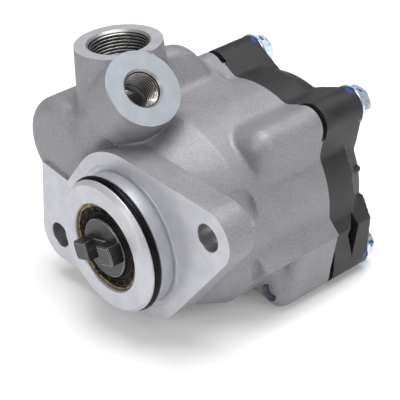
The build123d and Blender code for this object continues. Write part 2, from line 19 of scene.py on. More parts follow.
import bmesh
import bpy
import numpy as np
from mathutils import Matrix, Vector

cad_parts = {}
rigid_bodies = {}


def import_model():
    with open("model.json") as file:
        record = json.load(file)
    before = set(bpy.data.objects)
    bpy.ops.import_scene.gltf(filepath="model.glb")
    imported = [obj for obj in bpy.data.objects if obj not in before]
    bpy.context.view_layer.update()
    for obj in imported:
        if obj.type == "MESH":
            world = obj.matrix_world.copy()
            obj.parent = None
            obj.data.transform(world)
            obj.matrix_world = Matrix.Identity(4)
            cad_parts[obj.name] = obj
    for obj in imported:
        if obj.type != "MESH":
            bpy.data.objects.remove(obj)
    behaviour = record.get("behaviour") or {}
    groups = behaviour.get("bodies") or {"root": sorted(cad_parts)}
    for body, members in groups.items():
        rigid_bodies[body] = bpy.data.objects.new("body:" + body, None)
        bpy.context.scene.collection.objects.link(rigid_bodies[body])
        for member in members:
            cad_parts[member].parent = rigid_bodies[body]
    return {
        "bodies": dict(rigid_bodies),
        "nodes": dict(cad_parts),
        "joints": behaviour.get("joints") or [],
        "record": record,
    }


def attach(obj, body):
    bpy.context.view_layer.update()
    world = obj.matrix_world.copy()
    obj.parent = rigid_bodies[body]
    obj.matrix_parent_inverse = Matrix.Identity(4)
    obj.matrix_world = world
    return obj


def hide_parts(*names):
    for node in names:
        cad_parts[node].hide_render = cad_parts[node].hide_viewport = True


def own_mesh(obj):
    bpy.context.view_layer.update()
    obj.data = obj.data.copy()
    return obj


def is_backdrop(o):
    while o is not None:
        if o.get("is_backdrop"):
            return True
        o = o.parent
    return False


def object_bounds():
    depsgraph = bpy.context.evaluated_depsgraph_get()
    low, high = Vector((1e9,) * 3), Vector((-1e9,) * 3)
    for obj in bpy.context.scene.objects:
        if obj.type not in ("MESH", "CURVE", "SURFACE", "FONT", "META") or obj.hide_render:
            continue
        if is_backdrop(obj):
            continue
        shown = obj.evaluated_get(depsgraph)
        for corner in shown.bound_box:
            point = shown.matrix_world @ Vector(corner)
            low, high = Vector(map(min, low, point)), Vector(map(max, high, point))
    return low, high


LOG = logging.getLogger("pump")
MILLIMETRE = 0.001
Array = np.ndarray
Field = Callable[[Array, Array, Array], Array]


class Finish(Enum):
    """The finishes of the pump's visible and hidden pieces."""

    CAST_ALUMINIUM = "cast_aluminium"
    MACHINED_FACE = "machined_face"
    TURNED_BORE = "turned_bore"
    DARK_COVER = "dark_cover"
    ZINC = "zinc"
    BLACK_RUBBER = "black_rubber"
    SEAL_METAL = "seal_metal"
    SEAL_RUBBER = "seal_rubber"
    SPRING_STEEL = "spring_steel"
    BEARING_STEEL = "bearing_steel"
    PRESSED_STEEL = "pressed_steel"
    SHAFT_STEEL = "shaft_steel"
    GROUND_STEEL = "ground_steel"
    SINTERED_IRON = "sintered_iron"
    BUSH_BRONZE = "bush_bronze"
    EDGE_HIGHLIGHT = "painted_edge_highlight"
    SUCTION_THREAD = "suction_thread_shade"
    PRESSURE_THREAD = "pressure_thread_shade"
    JOINT_SHADE = "joint_shade"


# Distance fields


def smooth_join(first: Array, second: Array, reach: float | Array) -> Array:
    """Joins two distance fields with a fillet.

    The smaller distance is taken, less a square of how far the two are from being equal, so that the surface
    fills the corner between them over the given reach.

    Args:
        first: one field's distances.
        second: the other field's distances.
        reach: how far from the corner the fillet starts, one number or one for each point.

    Returns:
        The joined distances.
    """
    closeness = np.maximum(reach - np.abs(first - second), 0.0) / reach
    return np.minimum(first, second) - closeness * closeness * reach * 0.25


def smooth_cut(body: Array, tool: Array, reach: float) -> Array:
    """Cuts a tool's field out of a body's with a rounded edge.

    Args:
        body: distances of what is cut.
        tool: distances of what cuts.
        reach: size of the edge's rounding.

    Returns:
        The distances of what is left.
    """
    return -smooth_join(-body, tool, reach)


def edge_rounded(side: Array, end: Array, radius: float) -> Array:
    """Meets two limits, a side and an end, with a rounded edge of the given radius.

    Outside, the distance is the length of the two positive parts; inside, it is the larger of the two.

    Args:
        side: distance to the side surface.
        end: distance to the end surface.
        radius: the edge's radius.

    Returns:
        The distance of the solid between both.
    """
    across = side + radius
    over = end + radius
    outside = np.sqrt(np.maximum(across, 0.0) ** 2 + np.maximum(over, 0.0) ** 2)
    return outside + np.minimum(np.maximum(across, over), 0.0) - radius


def outline_distance(x: Array, z: Array, corners: Array) -> Array:
    """Signed distance in the X-Z plane to a closed outline.

    For each straight side the nearest point on it is found, and a point's sign flips for each side that a ray
    from it crosses.

    Args:
        x: first coordinate of the points.
        z: second coordinate of the points.
        corners: the outline's corners, one row each.

    Returns:
        The distance, negative inside.
    """
    x, z = np.broadcast_arrays(x, z)
    nearest = np.full(x.shape, 1e9)
    sign = np.ones(x.shape)
    for start, end in zip(corners, np.roll(corners, -1, axis=0)):
        run_x, run_z = end[0] - start[0], end[1] - start[1]
        from_x, from_z = x - start[0], z - start[1]
        share = np.clip((from_x * run_x + from_z * run_z) / (run_x * run_x + run_z * run_z), 0.0, 1.0)
        gap_x, gap_z = from_x - run_x * share, from_z - run_z * share
        nearest = np.minimum(nearest, gap_x * gap_x + gap_z * gap_z)
        above = z >= start[1]
        below = z < end[1]
        turn = run_x * from_z > run_z * from_x
        flips = (above & below & turn) | (~above & ~below & ~turn)
        sign = np.where(flips, -sign, sign)
    return sign * np.sqrt(nearest)


def hull_outline(circles: Sequence[tuple[float, float, float]], steps: int = 96) -> Array:
    """The outline of a belt pulled round several circles.

    In each direction the circle that reaches furthest gives the belt's point.

    Args:
        circles: centre x, centre z and radius of each circle.
        steps: number of directions.

    Returns:
        The outline's corners, one row each, with repeats left out.
    """
    turn = np.linspace(0.0, 2 * math.pi, steps, endpoint=False)
    way = np.stack([np.cos(turn), np.sin(turn)], axis=1)
    centres = np.array([(x, z) for x, z, _ in circles])
    radii = np.array([radius for _, _, radius in circles])
    chosen = np.argmax(way @ centres.T + radii, axis=1)
    corners = centres[chosen] + way * radii[chosen][:, None]
    apart = np.linalg.norm(corners - np.roll(corners, 1, axis=0), axis=1) > 1e-6
    return corners[apart]


def slab(y: Array, front: float, rear: float) -> Array:
    """Distance to the space between two stations along the shaft."""
    return np.abs(y - (front + rear) / 2) - (rear - front) / 2


def round_bar(x: Array, y: Array, z: Array, centre: tuple[float, float], radius: float,
              front: float, rear: float, edge: float) -> Array:
    """A round bar along the shaft's direction with rounded ends.

    Args:
        x: X of the points.
        y: Y of the points.
        z: Z of the points.
        centre: X and Z of the bar's middle.
        radius: the bar's radius.
        front: station of its front end.
        rear: station of its rear end.
        edge: rounding of its ends.

    Returns:
        Distance to the bar, negative inside.
    """
    side = np.hypot(x - centre[0], z - centre[1]) - radius
    return edge_rounded(side, slab(y, front, rear), edge)


def capsule(x: Array, y: Array, z: Array, start: Sequence[float], end: Sequence[float],
            radius: float) -> Array:
    """A bar with ball ends between two points: distance to the nearest point of the line, less the radius.

    Args:
        x: X of the points.
        y: Y of the points.
        z: Z of the points.
        start: the middle of one end.
        end: the middle of the other end.
        radius: the bar's radius.

    Returns:
        Distance to the bar, negative inside.
    """
    run = np.subtract(end, start)
    offset = (x - start[0], y - start[1], z - start[2])
    share = np.clip(sum(o * r for o, r in zip(offset, run)) / float(run @ run), 0.0, 1.0)
    return np.sqrt(sum((o - r * share) ** 2 for o, r in zip(offset, run))) - radius


@dataclass(frozen=True)
class Port:
    """A threaded port: the centre of its face and the angle of its axis in the X-Z plane."""

    centre: tuple[float, float, float]
    angle: float

    def way(self) -> tuple[float, float]:
        """The axis out of the port, as X and Z."""
        turn = math.radians(self.angle)
        return math.cos(turn), math.sin(turn)

    def depth_and_radius(self, x: Array, y: Array, z: Array) -> tuple[Array, Array]:
        """How deep below the port's face, and how far from its axis, points lie.

        Args:
            x: X of the points.
            y: Y of the points.
            z: Z of the points.

        Returns:
            Depth below the face, and distance from the axis.
        """
        out_x, out_z = self.way()
        from_x, from_z = x - self.centre[0], z - self.centre[2]
        depth = -(from_x * out_x + from_z * out_z)
        across = from_z * out_x - from_x * out_z
        return depth, np.sqrt(across ** 2 + (y - self.centre[1]) ** 2)

    def place(self, points: Array) -> Array:
        """Carries points from the port's face into the pump's frame.

        Args:
            points: positions as (along Y, across, up the axis), one row each.

        Returns:
            The positions in the pump's frame.
        """
        out_x, out_z = self.way()
        along, across, up = points[:, 0], points[:, 1], points[:, 2]
        return np.stack([
            self.centre[0] + up * out_x - across * out_z,
            self.centre[1] + along,
            self.centre[2] + up * out_z + across * out_x,
        ], axis=1)

    def place_turned(self, points: Array) -> Array:
        """Carries points turned about the Y axis onto the port's axis, with their station as the depth."""
        return self.place(np.stack([points[:, 0], points[:, 2], -points[:, 1]], axis=1))


def net_of(surface: Field, low: Sequence[float], high: Sequence[float], step: float) -> tuple[Array, Array]:
    """Wraps a distance field's zero surface in a net of quads.

    Each grid cell that the surface passes through gets one vertex, at the mean of its edge crossings, and
    each grid edge that the surface crosses gets the quad of its four cells. The vertices are then moved along
    the field's slope until they lie on the surface.

    Args:
        surface: the field.
        low: lowest corner of the grid.
        high: highest corner of the grid.
        step: the grid's pitch.

    Returns:
        Vertex positions and quads.
    """
    lines = [np.arange(a, b + step, step) for a, b in zip(low, high)]
    grid = surface(lines[0][:, None, None], lines[1][None, :, None], lines[2][None, None, :])
    fill_diagonals(grid)
    inside = grid < 0
    cells = tuple(size - 1 for size in grid.shape)
    filled = np.zeros(cells, dtype=np.int8)
    corners = [(i, j, k) for i in (0, 1) for j in (0, 1) for k in (0, 1)]
    for i, j, k in corners:
        filled += inside[i:i + cells[0], j:j + cells[1], k:k + cells[2]]
    active = np.nonzero((filled > 0) & (filled < 8))
    ids = np.full(cells, -1, dtype=np.int64)
    ids[active] = np.arange(active[0].size)
    total = np.zeros((active[0].size, 3))
    count = np.zeros(active[0].size)
    for axis in range(3):
        step_to = np.eye(3, dtype=int)[axis]
        for corner in corners:
            if corner[axis]:
                continue
            start = tuple(a + c for a, c in zip(active, corner))
            end = tuple(a + c + s for a, c, s in zip(active, corner, step_to))
            first, second = grid[start], grid[end]
            crossed = (first < 0) != (second < 0)
            share = np.where(crossed, first / np.where(crossed, first - second, 1.0), 0.0)
            spot = np.array(corner, dtype=float) + share[:, None] * step_to
            total += spot * crossed[:, None]
            count += crossed
    points = np.stack(active, axis=1) + total / count[:, None]
    points = np.array(low) + points * step
    quads = []
    for axis in range(3):
        side, up = (axis + 1) % 3, (axis + 2) % 3
        back = [slice(None)] * 3
        ahead = [slice(None)] * 3
        back[axis], ahead[axis] = slice(0, -1), slice(1, None)
        for other in (side, up):
            back[other] = ahead[other] = slice(1, -1)
        crossed = inside[tuple(back)] != inside[tuple(ahead)]
        where = np.nonzero(crossed)
        base = [w.copy() for w in where]
        for other in (side, up):
            base[other] = base[other] + 1
        ring = []
        for move_side, move_up in ((-1, -1), (0, -1), (0, 0), (-1, 0)):
            cell = [b.copy() for b in base]
            cell[side] += move_side
            cell[up] += move_up
            ring.append(ids[tuple(cell)])
        quad = np.stack(ring, axis=1)
        outwards = inside[tuple(back)][where]
        quads.append(np.where(outwards[:, None], quad, quad[:, ::-1]))
    faces = np.concatenate(quads)
    for _ in range(2):
        points = onto_surface(surface, points, step * 0.02)
    return points, faces


def fill_diagonals(grid: Array) -> None:
    """Fills grid points where two solid parts would touch only across a diagonal, so that the net is closed.

    Each square of the grid with one diagonal inside and the other outside gets an outside corner filled, and
    the pass is repeated, as one filling can make the next.

    Args:
        grid: the field's values, changed in place.
    """
    filled = -1e-3
    diagonals = (((0, 0), (1, 1), (0, 1), (1, 0)), ((0, 1), (1, 0), (0, 0), (1, 1)))
    for _ in range(3):
        for first, second in ((0, 1), (1, 2), (0, 2)):
            square = {}
            for corner in ((0, 0), (0, 1), (1, 0), (1, 1)):
                part = [slice(None)] * 3
                part[first] = slice(corner[0], grid.shape[first] - 1 + corner[0])
                part[second] = slice(corner[1], grid.shape[second] - 1 + corner[1])
                square[corner] = grid[tuple(part)]
            for near, far, side, other in diagonals:
                solid = (square[near] < 0) & (square[far] < 0)
                touching = solid & (square[side] >= 0) & (square[other] >= 0)
                square[side][touching] = filled


def onto_surface(surface: Field, points: Array, nudge: float) -> Array:
    """Moves points along a field's slope until its value there is nought.

    Args:
        surface: the field.
        points: positions, one row each.
        nudge: the step the slope is measured over.

    Returns:
        The moved positions.
    """
    value = surface(*points.T)
    slope = np.stack([(surface(*(points + nudge * axis).T) - value) / nudge for axis in np.eye(3)], axis=1)
    steep = np.maximum((slope ** 2).sum(axis=1), 0.25)
    move = np.clip(value / steep, -0.6, 0.6)
    return points - slope * move[:, None]


# Meshes


def new_piece(name: str, points: Array, faces: Sequence[Sequence[int]] | Array, smooth_angle: float = 35.0,
              materials: Sequence[bpy.types.Material] = (), slots: Array | None = None) -> bpy.types.Object:
    """Makes an object at the origin from points in millimetres.

    Args:
        name: the piece's name.
        points: positions, one row each.
        faces: corners of each face.
        smooth_angle: edges sharper than this many degrees stay hard.
        materials: the piece's materials.
        slots: each face's material number.

    Returns:
        The new object.
    """
    mesh = bpy.data.meshes.new(name)
    faces = np.asarray(faces)
    mesh.vertices.add(len(points))
    mesh.vertices.foreach_set("co", (points * MILLIMETRE).astype(np.float32).ravel())
    mesh.loops.add(faces.size)
    mesh.loops.foreach_set("vertex_index", faces.astype(np.int32).ravel())
    mesh.polygons.add(len(faces))
    mesh.polygons.foreach_set("loop_start", np.arange(0, faces.size, faces.shape[1], dtype=np.int32))
    if slots is not None:
        mesh.polygons.foreach_set("material_index", slots.astype(np.int32))
    mesh.update(calc_edges=True)
    mesh.validate()
    for material in materials:
        mesh.materials.append(material)
    piece = bpy.data.objects.new(name, mesh)
    bpy.context.scene.collection.objects.link(piece)
    soften(mesh, smooth_angle)
    return piece


def soften(mesh: bpy.types.Mesh, angle: float) -> None:
    """Shades a mesh smoothly, with its sharp edges kept hard.

    Args:
        mesh: the mesh.
        angle: edges sharper than this many degrees stay hard.
    """
    mesh.polygons.foreach_set("use_smooth", np.ones(len(mesh.polygons), dtype=bool))
    mesh.set_sharp_from_angle(angle=math.radians(angle))
    mesh.update()


def even_normals(piece: bpy.types.Object) -> None:
    """Weights a piece's normals by face area, so that flat faces stay flat beside their rounded edges.

    Args:
        piece: the piece.
    """
    even = piece.modifiers.new("even", "WEIGHTED_NORMAL")
    even.keep_sharp = True
    even.weight = 60


def wrapped_quads(rows: int, columns: int, close_rows: bool = False) -> Array:
    """Quads of a grid of points whose columns run round a closed loop.

    Args:
        rows: number of rows.
        columns: number of points in a row.
        close_rows: whether the last row also joins the first.

    Returns:
        Corner numbers of each quad.
    """
    last = rows if close_rows else rows - 1
    row, column = np.meshgrid(np.arange(last), np.arange(columns), indexing="ij")
    following, beside = (row + 1) % rows, (column + 1) % columns
    corners = [row * columns + column, row * columns + beside, following * columns + beside,
               following * columns + column]
    return np.stack([c.ravel() for c in corners], axis=1)


def turned_points(radii: Array, stations: Array, steps: int) -> Array:
    """Points of a profile turned about a Y axis: each row is one station, each column one angle.

    Args:
        radii: radius of each profile point, or a grid of radii by station and angle.
        stations: station of each profile point, or a grid of the same kind.
        steps: number of angles.

    Returns:
        The positions, one row each.
    """
    turn = np.linspace(0.0, 2 * math.pi, steps, endpoint=False)[None, :]
    radii = radii[:, None] if radii.ndim == 1 else radii
    stations = stations[:, None] if stations.ndim == 1 else stations
    radii, stations, turn = np.broadcast_arrays(radii, stations, turn)
    return np.stack([radii * np.cos(turn), stations, radii * np.sin(turn)], axis=-1).reshape(-1, 3)


def turned_piece(name: str, profile: Sequence[tuple[float, float]], steps: int, smooth_angle: float = 35.0,
                 place: Callable[[Array], Array] | None = None) -> bpy.types.Object:
    """A closed profile of (radius, station) points turned about the shaft axis.

    Points on the axis get a radius of a hundredth of a millimetre, and a profile that starts and ends there
    gets a small cap at each end, so that the solid has no pole and no hole.

    Args:
        name: the piece's name.
        profile: the section, in order round it.
        steps: number of angles.
        smooth_angle: edges sharper than this many degrees stay hard.
        place: moves the points to where the piece sits.

    Returns:
        The new object.
    """
    section = np.array(profile, dtype=float)
    capped = section[0, 0] == 0 and section[-1, 0] == 0
    section[:, 0] = np.maximum(section[:, 0], 0.01)
    around = section[:, 0] * np.roll(section[:, 1], -1) - np.roll(section[:, 0], -1) * section[:, 1]
    if around.sum() > 0:
        section = section[::-1]
    points = turned_points(section[:, 0], section[:, 1], steps)
    if place is not None:
        points = place(points)
    piece = new_piece(name, points, wrapped_quads(len(section), steps, close_rows=not capped), smooth_angle)
    if capped:
        close_ends(piece, smooth_angle)
    return piece


def port_tool(name: str, port: Port, profile: Sequence[tuple[float, float]]) -> bpy.types.Object:
    """A turned tool on a port's axis.

    Args:
        name: the tool's name.
        port: the port.
        profile: its section as (radius, depth below the port's face).

    Returns:
        The tool.
    """
    return turned_piece(name, profile, 160, place=port.place_turned)


def carried_to(centre: tuple[float, float]) -> Callable[[Array], Array]:
    """Gives what carries turned points from the shaft's axis to a parallel one.

    Args:
        centre: X and Z of the other axis.

    Returns:
        The function that moves the points.
    """
    return lambda points: points + (centre[0], 0.0, centre[1])


def settle(body: bpy.types.Object) -> None:
    """Makes what a body's modifiers give its mesh, and clears them.

    Args:
        body: the piece, whose mesh is replaced by one of the same name.
    """
    view = bpy.context.evaluated_depsgraph_get()
    settled = bpy.data.meshes.new_from_object(body.evaluated_get(view), depsgraph=view)
    body.modifiers.clear()
    old = body.data
    name = old.name
    body.data = settled
    bpy.data.meshes.remove(old)
    settled.name = name


def combine(body: bpy.types.Object, other: bpy.types.Object, operation: str) -> None:
    """Adds or cuts another piece, as a modifier of the body.

    Args:
        body: the piece that changes.
        other: the piece that is added or cut out.
        operation: UNION or DIFFERENCE.
    """
    step = body.modifiers.new(other.name, "BOOLEAN")
    step.operation = operation
    step.solver = "MANIFOLD"
    step.object = other


def add_stock(body: bpy.types.Object, stock: bpy.types.Object) -> None:
    """Joins a piece of stock to a body.

    Args:
        body: what is added to; its mesh is replaced.
        stock: the stock, which is used up.
    """
    combine(body, stock, "UNION")
    settle(body)
    bpy.data.objects.remove(stock)


def carve(body: bpy.types.Object, cutters: Sequence[tuple[bpy.types.Object, int]],
          smooth_angle: float) -> None:
    """Cuts pieces out of a body; each cut's new faces get their material by number.

    Args:
        body: what is cut; its mesh is replaced.
        cutters: each cutter with the material number of the faces that it leaves.
        smooth_angle: edges sharper than this many degrees stay hard.
    """
    materials = list(body.data.materials)
    for cutter, number in cutters:
        cutter.data.materials.clear()
        for material in materials:
            cutter.data.materials.append(material)
        numbers = np.full(len(cutter.data.polygons), number, dtype=np.int32)
        cutter.data.polygons.foreach_set("material_index", numbers)
        combine(body, cutter, "DIFFERENCE")
    settle(body)
    for cutter, _ in cutters:
        bpy.data.objects.remove(cutter)
    soften(body.data, smooth_angle)


# Materials


@dataclass
class Shader:
    """A material being built from nodes on Object coordinates."""

    name: str
    tree: bpy.types.NodeTree = field(init=False)
    material: bpy.types.Material = field(init=False)
    surface: bpy.types.Node = field(init=False)
    spot: bpy.types.NodeSocket = field(init=False)

    def __post_init__(self) -> None:
        """Makes the material with its shader and the Object coordinates in millimetres."""
        self.material = bpy.data.materials.new(self.name)
        self.material.use_nodes = True
        self.tree = self.material.node_tree
        self.surface = self.tree.nodes["Principled BSDF"]
        place = self.node("ShaderNodeTexCoord").outputs["Object"]
        self.spot = self.vector("SCALE", place, scale=1000.0)

    def node(self, kind: str, **settings: object) -> bpy.types.Node:
        """Adds a node.

        Args:
            kind: the node's type name.
            settings: properties to set on it.

        Returns:
            The node.
        """
        made = self.tree.nodes.new(kind)
        for key, value in settings.items():
            setattr(made, key, value)
        return made

    def feed(self, socket: bpy.types.NodeSocket, value: object) -> None:
        """Links a socket to another, or sets its value.

        Args:
            socket: the socket that is fed.
            value: another node's socket, or a plain value.
        """
        if isinstance(value, bpy.types.NodeSocket):
            self.tree.links.new(value, socket)
        else:
            socket.default_value = value

    def vector(self, operation: str, first: object, second: object = (0.0, 0.0, 0.0),
               scale: float | None = None) -> bpy.types.NodeSocket:
        """A vector sum, product or scaling.

        Args:
            operation: the node's operation.
            first: the first vector.
            second: the second vector, where there is no scale.
            scale: the factor of a scaling.

        Returns:
            The result's socket, a number for a length, distance or dot product.
        """
        made = self.node("ShaderNodeVectorMath", operation=operation)
        self.feed(made.inputs[0], first)
        if scale is None:
            self.feed(made.inputs[1], second)
        else:
            made.inputs["Scale"].default_value = scale
        return made.outputs["Value" if operation in ("LENGTH", "DISTANCE", "DOT_PRODUCT") else "Vector"]

    def maths(self, operation: str, first: object, second: object) -> bpy.types.NodeSocket:
        """One sum of two numbers.

        Args:
            operation: the node's operation.
            first: the first number.
            second: the second number.

        Returns:
            The result's socket.
        """
        made = self.node("ShaderNodeMath", operation=operation)
        self.feed(made.inputs[0], first)
        self.feed(made.inputs[1], second)
        return made.outputs[0]

    def weighed(self, first: object, weight: float, second: object,
                other_weight: float) -> bpy.types.NodeSocket:
        """Two numbers added, each times its weight.

        Args:
            first: the first number.
            weight: its weight.
            second: the second number.
            other_weight: the second's weight.

        Returns:
            The sum's socket.
        """
        part = self.maths("MULTIPLY", first, weight)
        return self.maths("ADD", part, self.maths("MULTIPLY", second, other_weight))

    def noise(self, size: float, detail: float, rough: float = 0.55,
              where: object = None) -> bpy.types.NodeSocket:
        """A cloud pattern.

        Args:
            size: size of its blobs in millimetres.
            detail: how many finer layers it has.
            rough: how strong the finer layers are.
            where: the points it is read at, if not the Object coordinates.

        Returns:
            The pattern's value, from 0 to 1.
        """
        made = self.node("ShaderNodeTexNoise")
        self.feed(made.inputs["Vector"], self.spot if where is None else where)
        made.inputs["Scale"].default_value = 1.0 / size
        made.inputs["Detail"].default_value = detail
        made.inputs["Roughness"].default_value = rough
        return made.outputs["Fac"]

    def along_line(self, value: object) -> bpy.types.NodeSocket:
        """A point whose X is the given number; a pattern read there changes with that number alone."""
        line = self.node("ShaderNodeCombineXYZ")
        self.feed(line.inputs[0], value)
        return line.outputs[0]

    def ramp(self, value: object, low: float, high: float, start: float = 0.0,
             end: float = 1.0) -> bpy.types.NodeSocket:
        """Maps a span of values smoothly onto another.

        Args:
            value: what is mapped.
            low: the span's start.
            high: the span's end.
            start: what the start becomes.
            end: what the end becomes.

        Returns:
            The mapped value's socket.
        """
        made = self.node("ShaderNodeMapRange", interpolation_type="SMOOTHSTEP")
        for socket, number in zip(made.inputs, (value, low, high, start, end)):
            self.feed(socket, number)
        return made.outputs[0]

    def blend(self, share: object, first: object, second: object) -> bpy.types.NodeSocket:
        """A mix of two colours.

        Args:
            share: how much of the second is taken.
            first: the first colour.
            second: the second colour.

        Returns:
            The mixed colour's socket.
        """
        made = self.node("ShaderNodeMix", data_type="RGBA")
        self.feed(made.inputs[0], share)
        for socket, value in ((made.inputs[6], first), (made.inputs[7], second)):
            self.feed(socket, (*value, 1.0) if isinstance(value, tuple) else value)
        return made.outputs[2]

    def bump(self, height: object, depth: float, strength: float) -> bpy.types.NodeSocket:
        """A bumped normal.

        Args:
            height: the pattern that is raised.
            depth: how deep it is, in millimetres.
            strength: how strongly it shows.

        Returns:
            The normal's socket.
        """
        made = self.node("ShaderNodeBump")
        made.inputs["Strength"].default_value = strength
        made.inputs["Distance"].default_value = depth * MILLIMETRE
        self.feed(made.inputs["Height"], height)
        return made.outputs["Normal"]

    def set(self, **values: object) -> None:
        """Sets the shader's sockets.

        Args:
            values: each socket's value by its name, with underscores for blanks.
        """
        for key, value in values.items():
            socket = self.surface.inputs[key.replace("_", " ")]
            self.feed(socket, (*value, 1.0) if isinstance(value, tuple) and len(value) == 3 else value)

    def radius_from(self, centre: tuple[float, float, float],
                    way: tuple[float, float, float]) -> bpy.types.NodeSocket:
        """Distance from an axis, in millimetres: the length of the offset less its part along the axis.

        Args:
            centre: a point on the axis.
            way: the axis as a unit vector.

        Returns:
            The distance's socket.
        """
        offset = self.vector("SUBTRACT", self.spot, centre)
        along = self.vector("DOT_PRODUCT", offset, way)
        part = self.node("ShaderNodeVectorMath", operation="SCALE")
        part.inputs[0].default_value = way
        self.feed(part.inputs["Scale"], along)
        return self.vector("LENGTH", self.vector("SUBTRACT", offset, part.outputs[0]))


Colour = tuple[float, float, float]
BLUE_PAINT: Colour = (0.03, 0.055, 0.24)
GREEN_PAINT: Colour = (0.03, 0.17, 0.14)


@dataclass(frozen=True)
class PaintDab:
    """A dab of marking paint: its middle, its half sizes and its colour."""

    middle: tuple[float, float, float]
    size: tuple[float, float, float]
    colour: Colour


@dataclass(frozen=True)
class MarkingPaint:
    """Dabs of marking paint, laid over a finish with a wavering edge."""

    dabs: tuple[PaintDab, ...]
    waver_size: float = 1.6
    waver: float = 0.9
    solid_to: float = 1.35
    gone_from: float = 1.55

    def over(self, shader: Shader,
             colour: bpy.types.NodeSocket) -> tuple[bpy.types.NodeSocket, bpy.types.NodeSocket]:
        """Lays the dabs over a colour.

        A dab covers where the length of the offset from its middle, divided by its half sizes, is small; a
        noise is added to that length, so that the edge wavers.

        Args:
            shader: the material being built.
            colour: the colour beneath.

        Returns:
            The painted colour and the share that paint covers.
        """
        wobble = shader.noise(self.waver_size, 3.0, 0.6)
        cover = None
        for dab in self.dabs:
            offset = shader.vector("SUBTRACT", shader.spot, dab.middle)
            scaled = shader.vector("DIVIDE", offset, dab.size)
            reach = shader.weighed(shader.vector("LENGTH", scaled), 1.0, wobble, self.waver)
            share = shader.ramp(reach, self.solid_to, self.gone_from, 1.0, 0.0)
            colour = shader.blend(share, colour, dab.colour)
            cover = share if cover is None else shader.maths("MAXIMUM", cover, share)
        return colour, cover


class FinishRecipe(Protocol):
    """A finish that can make its material."""

    def material(self) -> bpy.types.Material:
        """Builds the material."""


@dataclass(frozen=True)
class CastAluminium:
    """Die-cast aluminium: even grey with a fine grain, faint clouds and small pits."""

    dark: Colour = (0.215, 0.213, 0.228)
    pale: Colour = (0.335, 0.333, 0.352)
    metallic: float = 0.35
    grain_size: float = 0.55
    cloud_size: float = 9.0
    pit_size: float = 1.3
    pit_depth: float = 0.13

    def material(self) -> bpy.types.Material:
        """Builds the material."""
        shader = Shader("cast_aluminium")
        grain = shader.noise(self.grain_size, 4.0, 0.65)
        cloud = shader.noise(self.cloud_size, 3.0, 0.5)
        tone = shader.weighed(grain, 0.8, cloud, 0.2)
        colour = shader.blend(shader.ramp(tone, 0.32, 0.68), self.dark, self.pale)
        height = shader.weighed(grain, 0.8, shader.noise(self.pit_size, 3.0, 0.6), 1.0)
        shader.set(Base_Color=colour, Metallic=self.metallic, Normal=shader.bump(height, self.pit_depth, 0.6))
        shader.set(Roughness=shader.ramp(cloud, 0.3, 0.7, 0.50, 0.58))
        return shader.material


@dataclass(frozen=True)
class MachinedFace:
    """Milled and turned aluminium faces: pale, with faint tool rings about shaft and pressure port."""

    port: Port
    dark: Colour = (0.46, 0.465, 0.50)
    pale: Colour = (0.56, 0.565, 0.605)
    port_dark: Colour = (0.39, 0.42, 0.465)
    port_pale: Colour = (0.46, 0.49, 0.54)
    port_reach: tuple[float, float] = (17.5, 19.0)
    metallic: float = 0.45
    ring_size: float = 0.35
    grain_size: float = 0.5
    cloud_size: float = 7.0
    ring_depth: float = 0.03

    def material(self) -> bpy.types.Material:
        """Builds the material: the rings are a noise of the radius from the shaft, or from the near port."""
        shader = Shader("machined_face")
        out_x, out_z = self.port.way()
        shaft_rings = shader.radius_from((0.0, 0.0, 0.0), (0.0, 1.0, 0.0))
        port_rings = shader.radius_from(self.port.centre, (out_x, 0.0, out_z))
        from_port = shader.vector("DISTANCE", shader.spot, self.port.centre)
        near_port = shader.ramp(from_port, *self.port_reach, 1.0, 0.0)
        radius = shader.node("ShaderNodeMix", data_type="FLOAT")
        chosen = (radius.inputs[0], radius.inputs[2], radius.inputs[3])
        for socket, value in zip(chosen, (near_port, shaft_rings, port_rings)):
            shader.feed(socket, value)
        rings = shader.noise(self.ring_size, 2.0, 0.5, shader.along_line(radius.outputs[0]))
        grain = shader.noise(self.grain_size, 4.0, 0.6)
        cloud = shader.noise(self.cloud_size, 3.0, 0.55)
        mixed = shader.weighed(rings, 0.5, grain, 0.5)
        share = shader.ramp(shader.weighed(mixed, 0.6, cloud, 0.4), 0.38, 0.64)
        plain = shader.blend(share, self.dark, self.pale)
        bluish = shader.blend(share, self.port_dark, self.port_pale)
        colour = shader.blend(near_port, plain, bluish)
        shader.set(Base_Color=colour, Metallic=self.metallic, Normal=shader.bump(mixed, self.ring_depth, 0.5))
        shader.set(Roughness=shader.ramp(mixed, 0.3, 0.7, 0.34, 0.44))
        return shader.material


@dataclass(frozen=True)
class TurnedBore:
    """Bored and drilled aluminium, brighter and smoother, with rings about the shaft."""

    dark: Colour = (0.30, 0.30, 0.305)
    pale: Colour = (0.44, 0.44, 0.45)
    metallic: float = 0.8
    ring_size: float = 0.28
    grain_size: float = 0.7
    ring_depth: float = 0.03

    def material(self) -> bpy.types.Material:
        """Builds the material: the rings are a noise of the station along the shaft."""
        shader = Shader("turned_bore")
        part = shader.node("ShaderNodeSeparateXYZ")
        shader.feed(part.inputs[0], shader.spot)
        rings = shader.noise(self.ring_size, 2.0, 0.5, shader.along_line(part.outputs[1]))
        grain = shader.noise(self.grain_size, 3.0, 0.6)
        tone = shader.weighed(rings, 0.6, grain, 0.4)
        share = shader.ramp(tone, 0.3, 0.7)
        shader.set(Base_Color=shader.blend(share, self.dark, self.pale), Metallic=self.metallic)
        shader.set(Roughness=shader.ramp(tone, 0.3, 0.7, 0.34, 0.44))
        shader.set(Normal=shader.bump(rings, self.ring_depth, 0.5))
        return shader.material


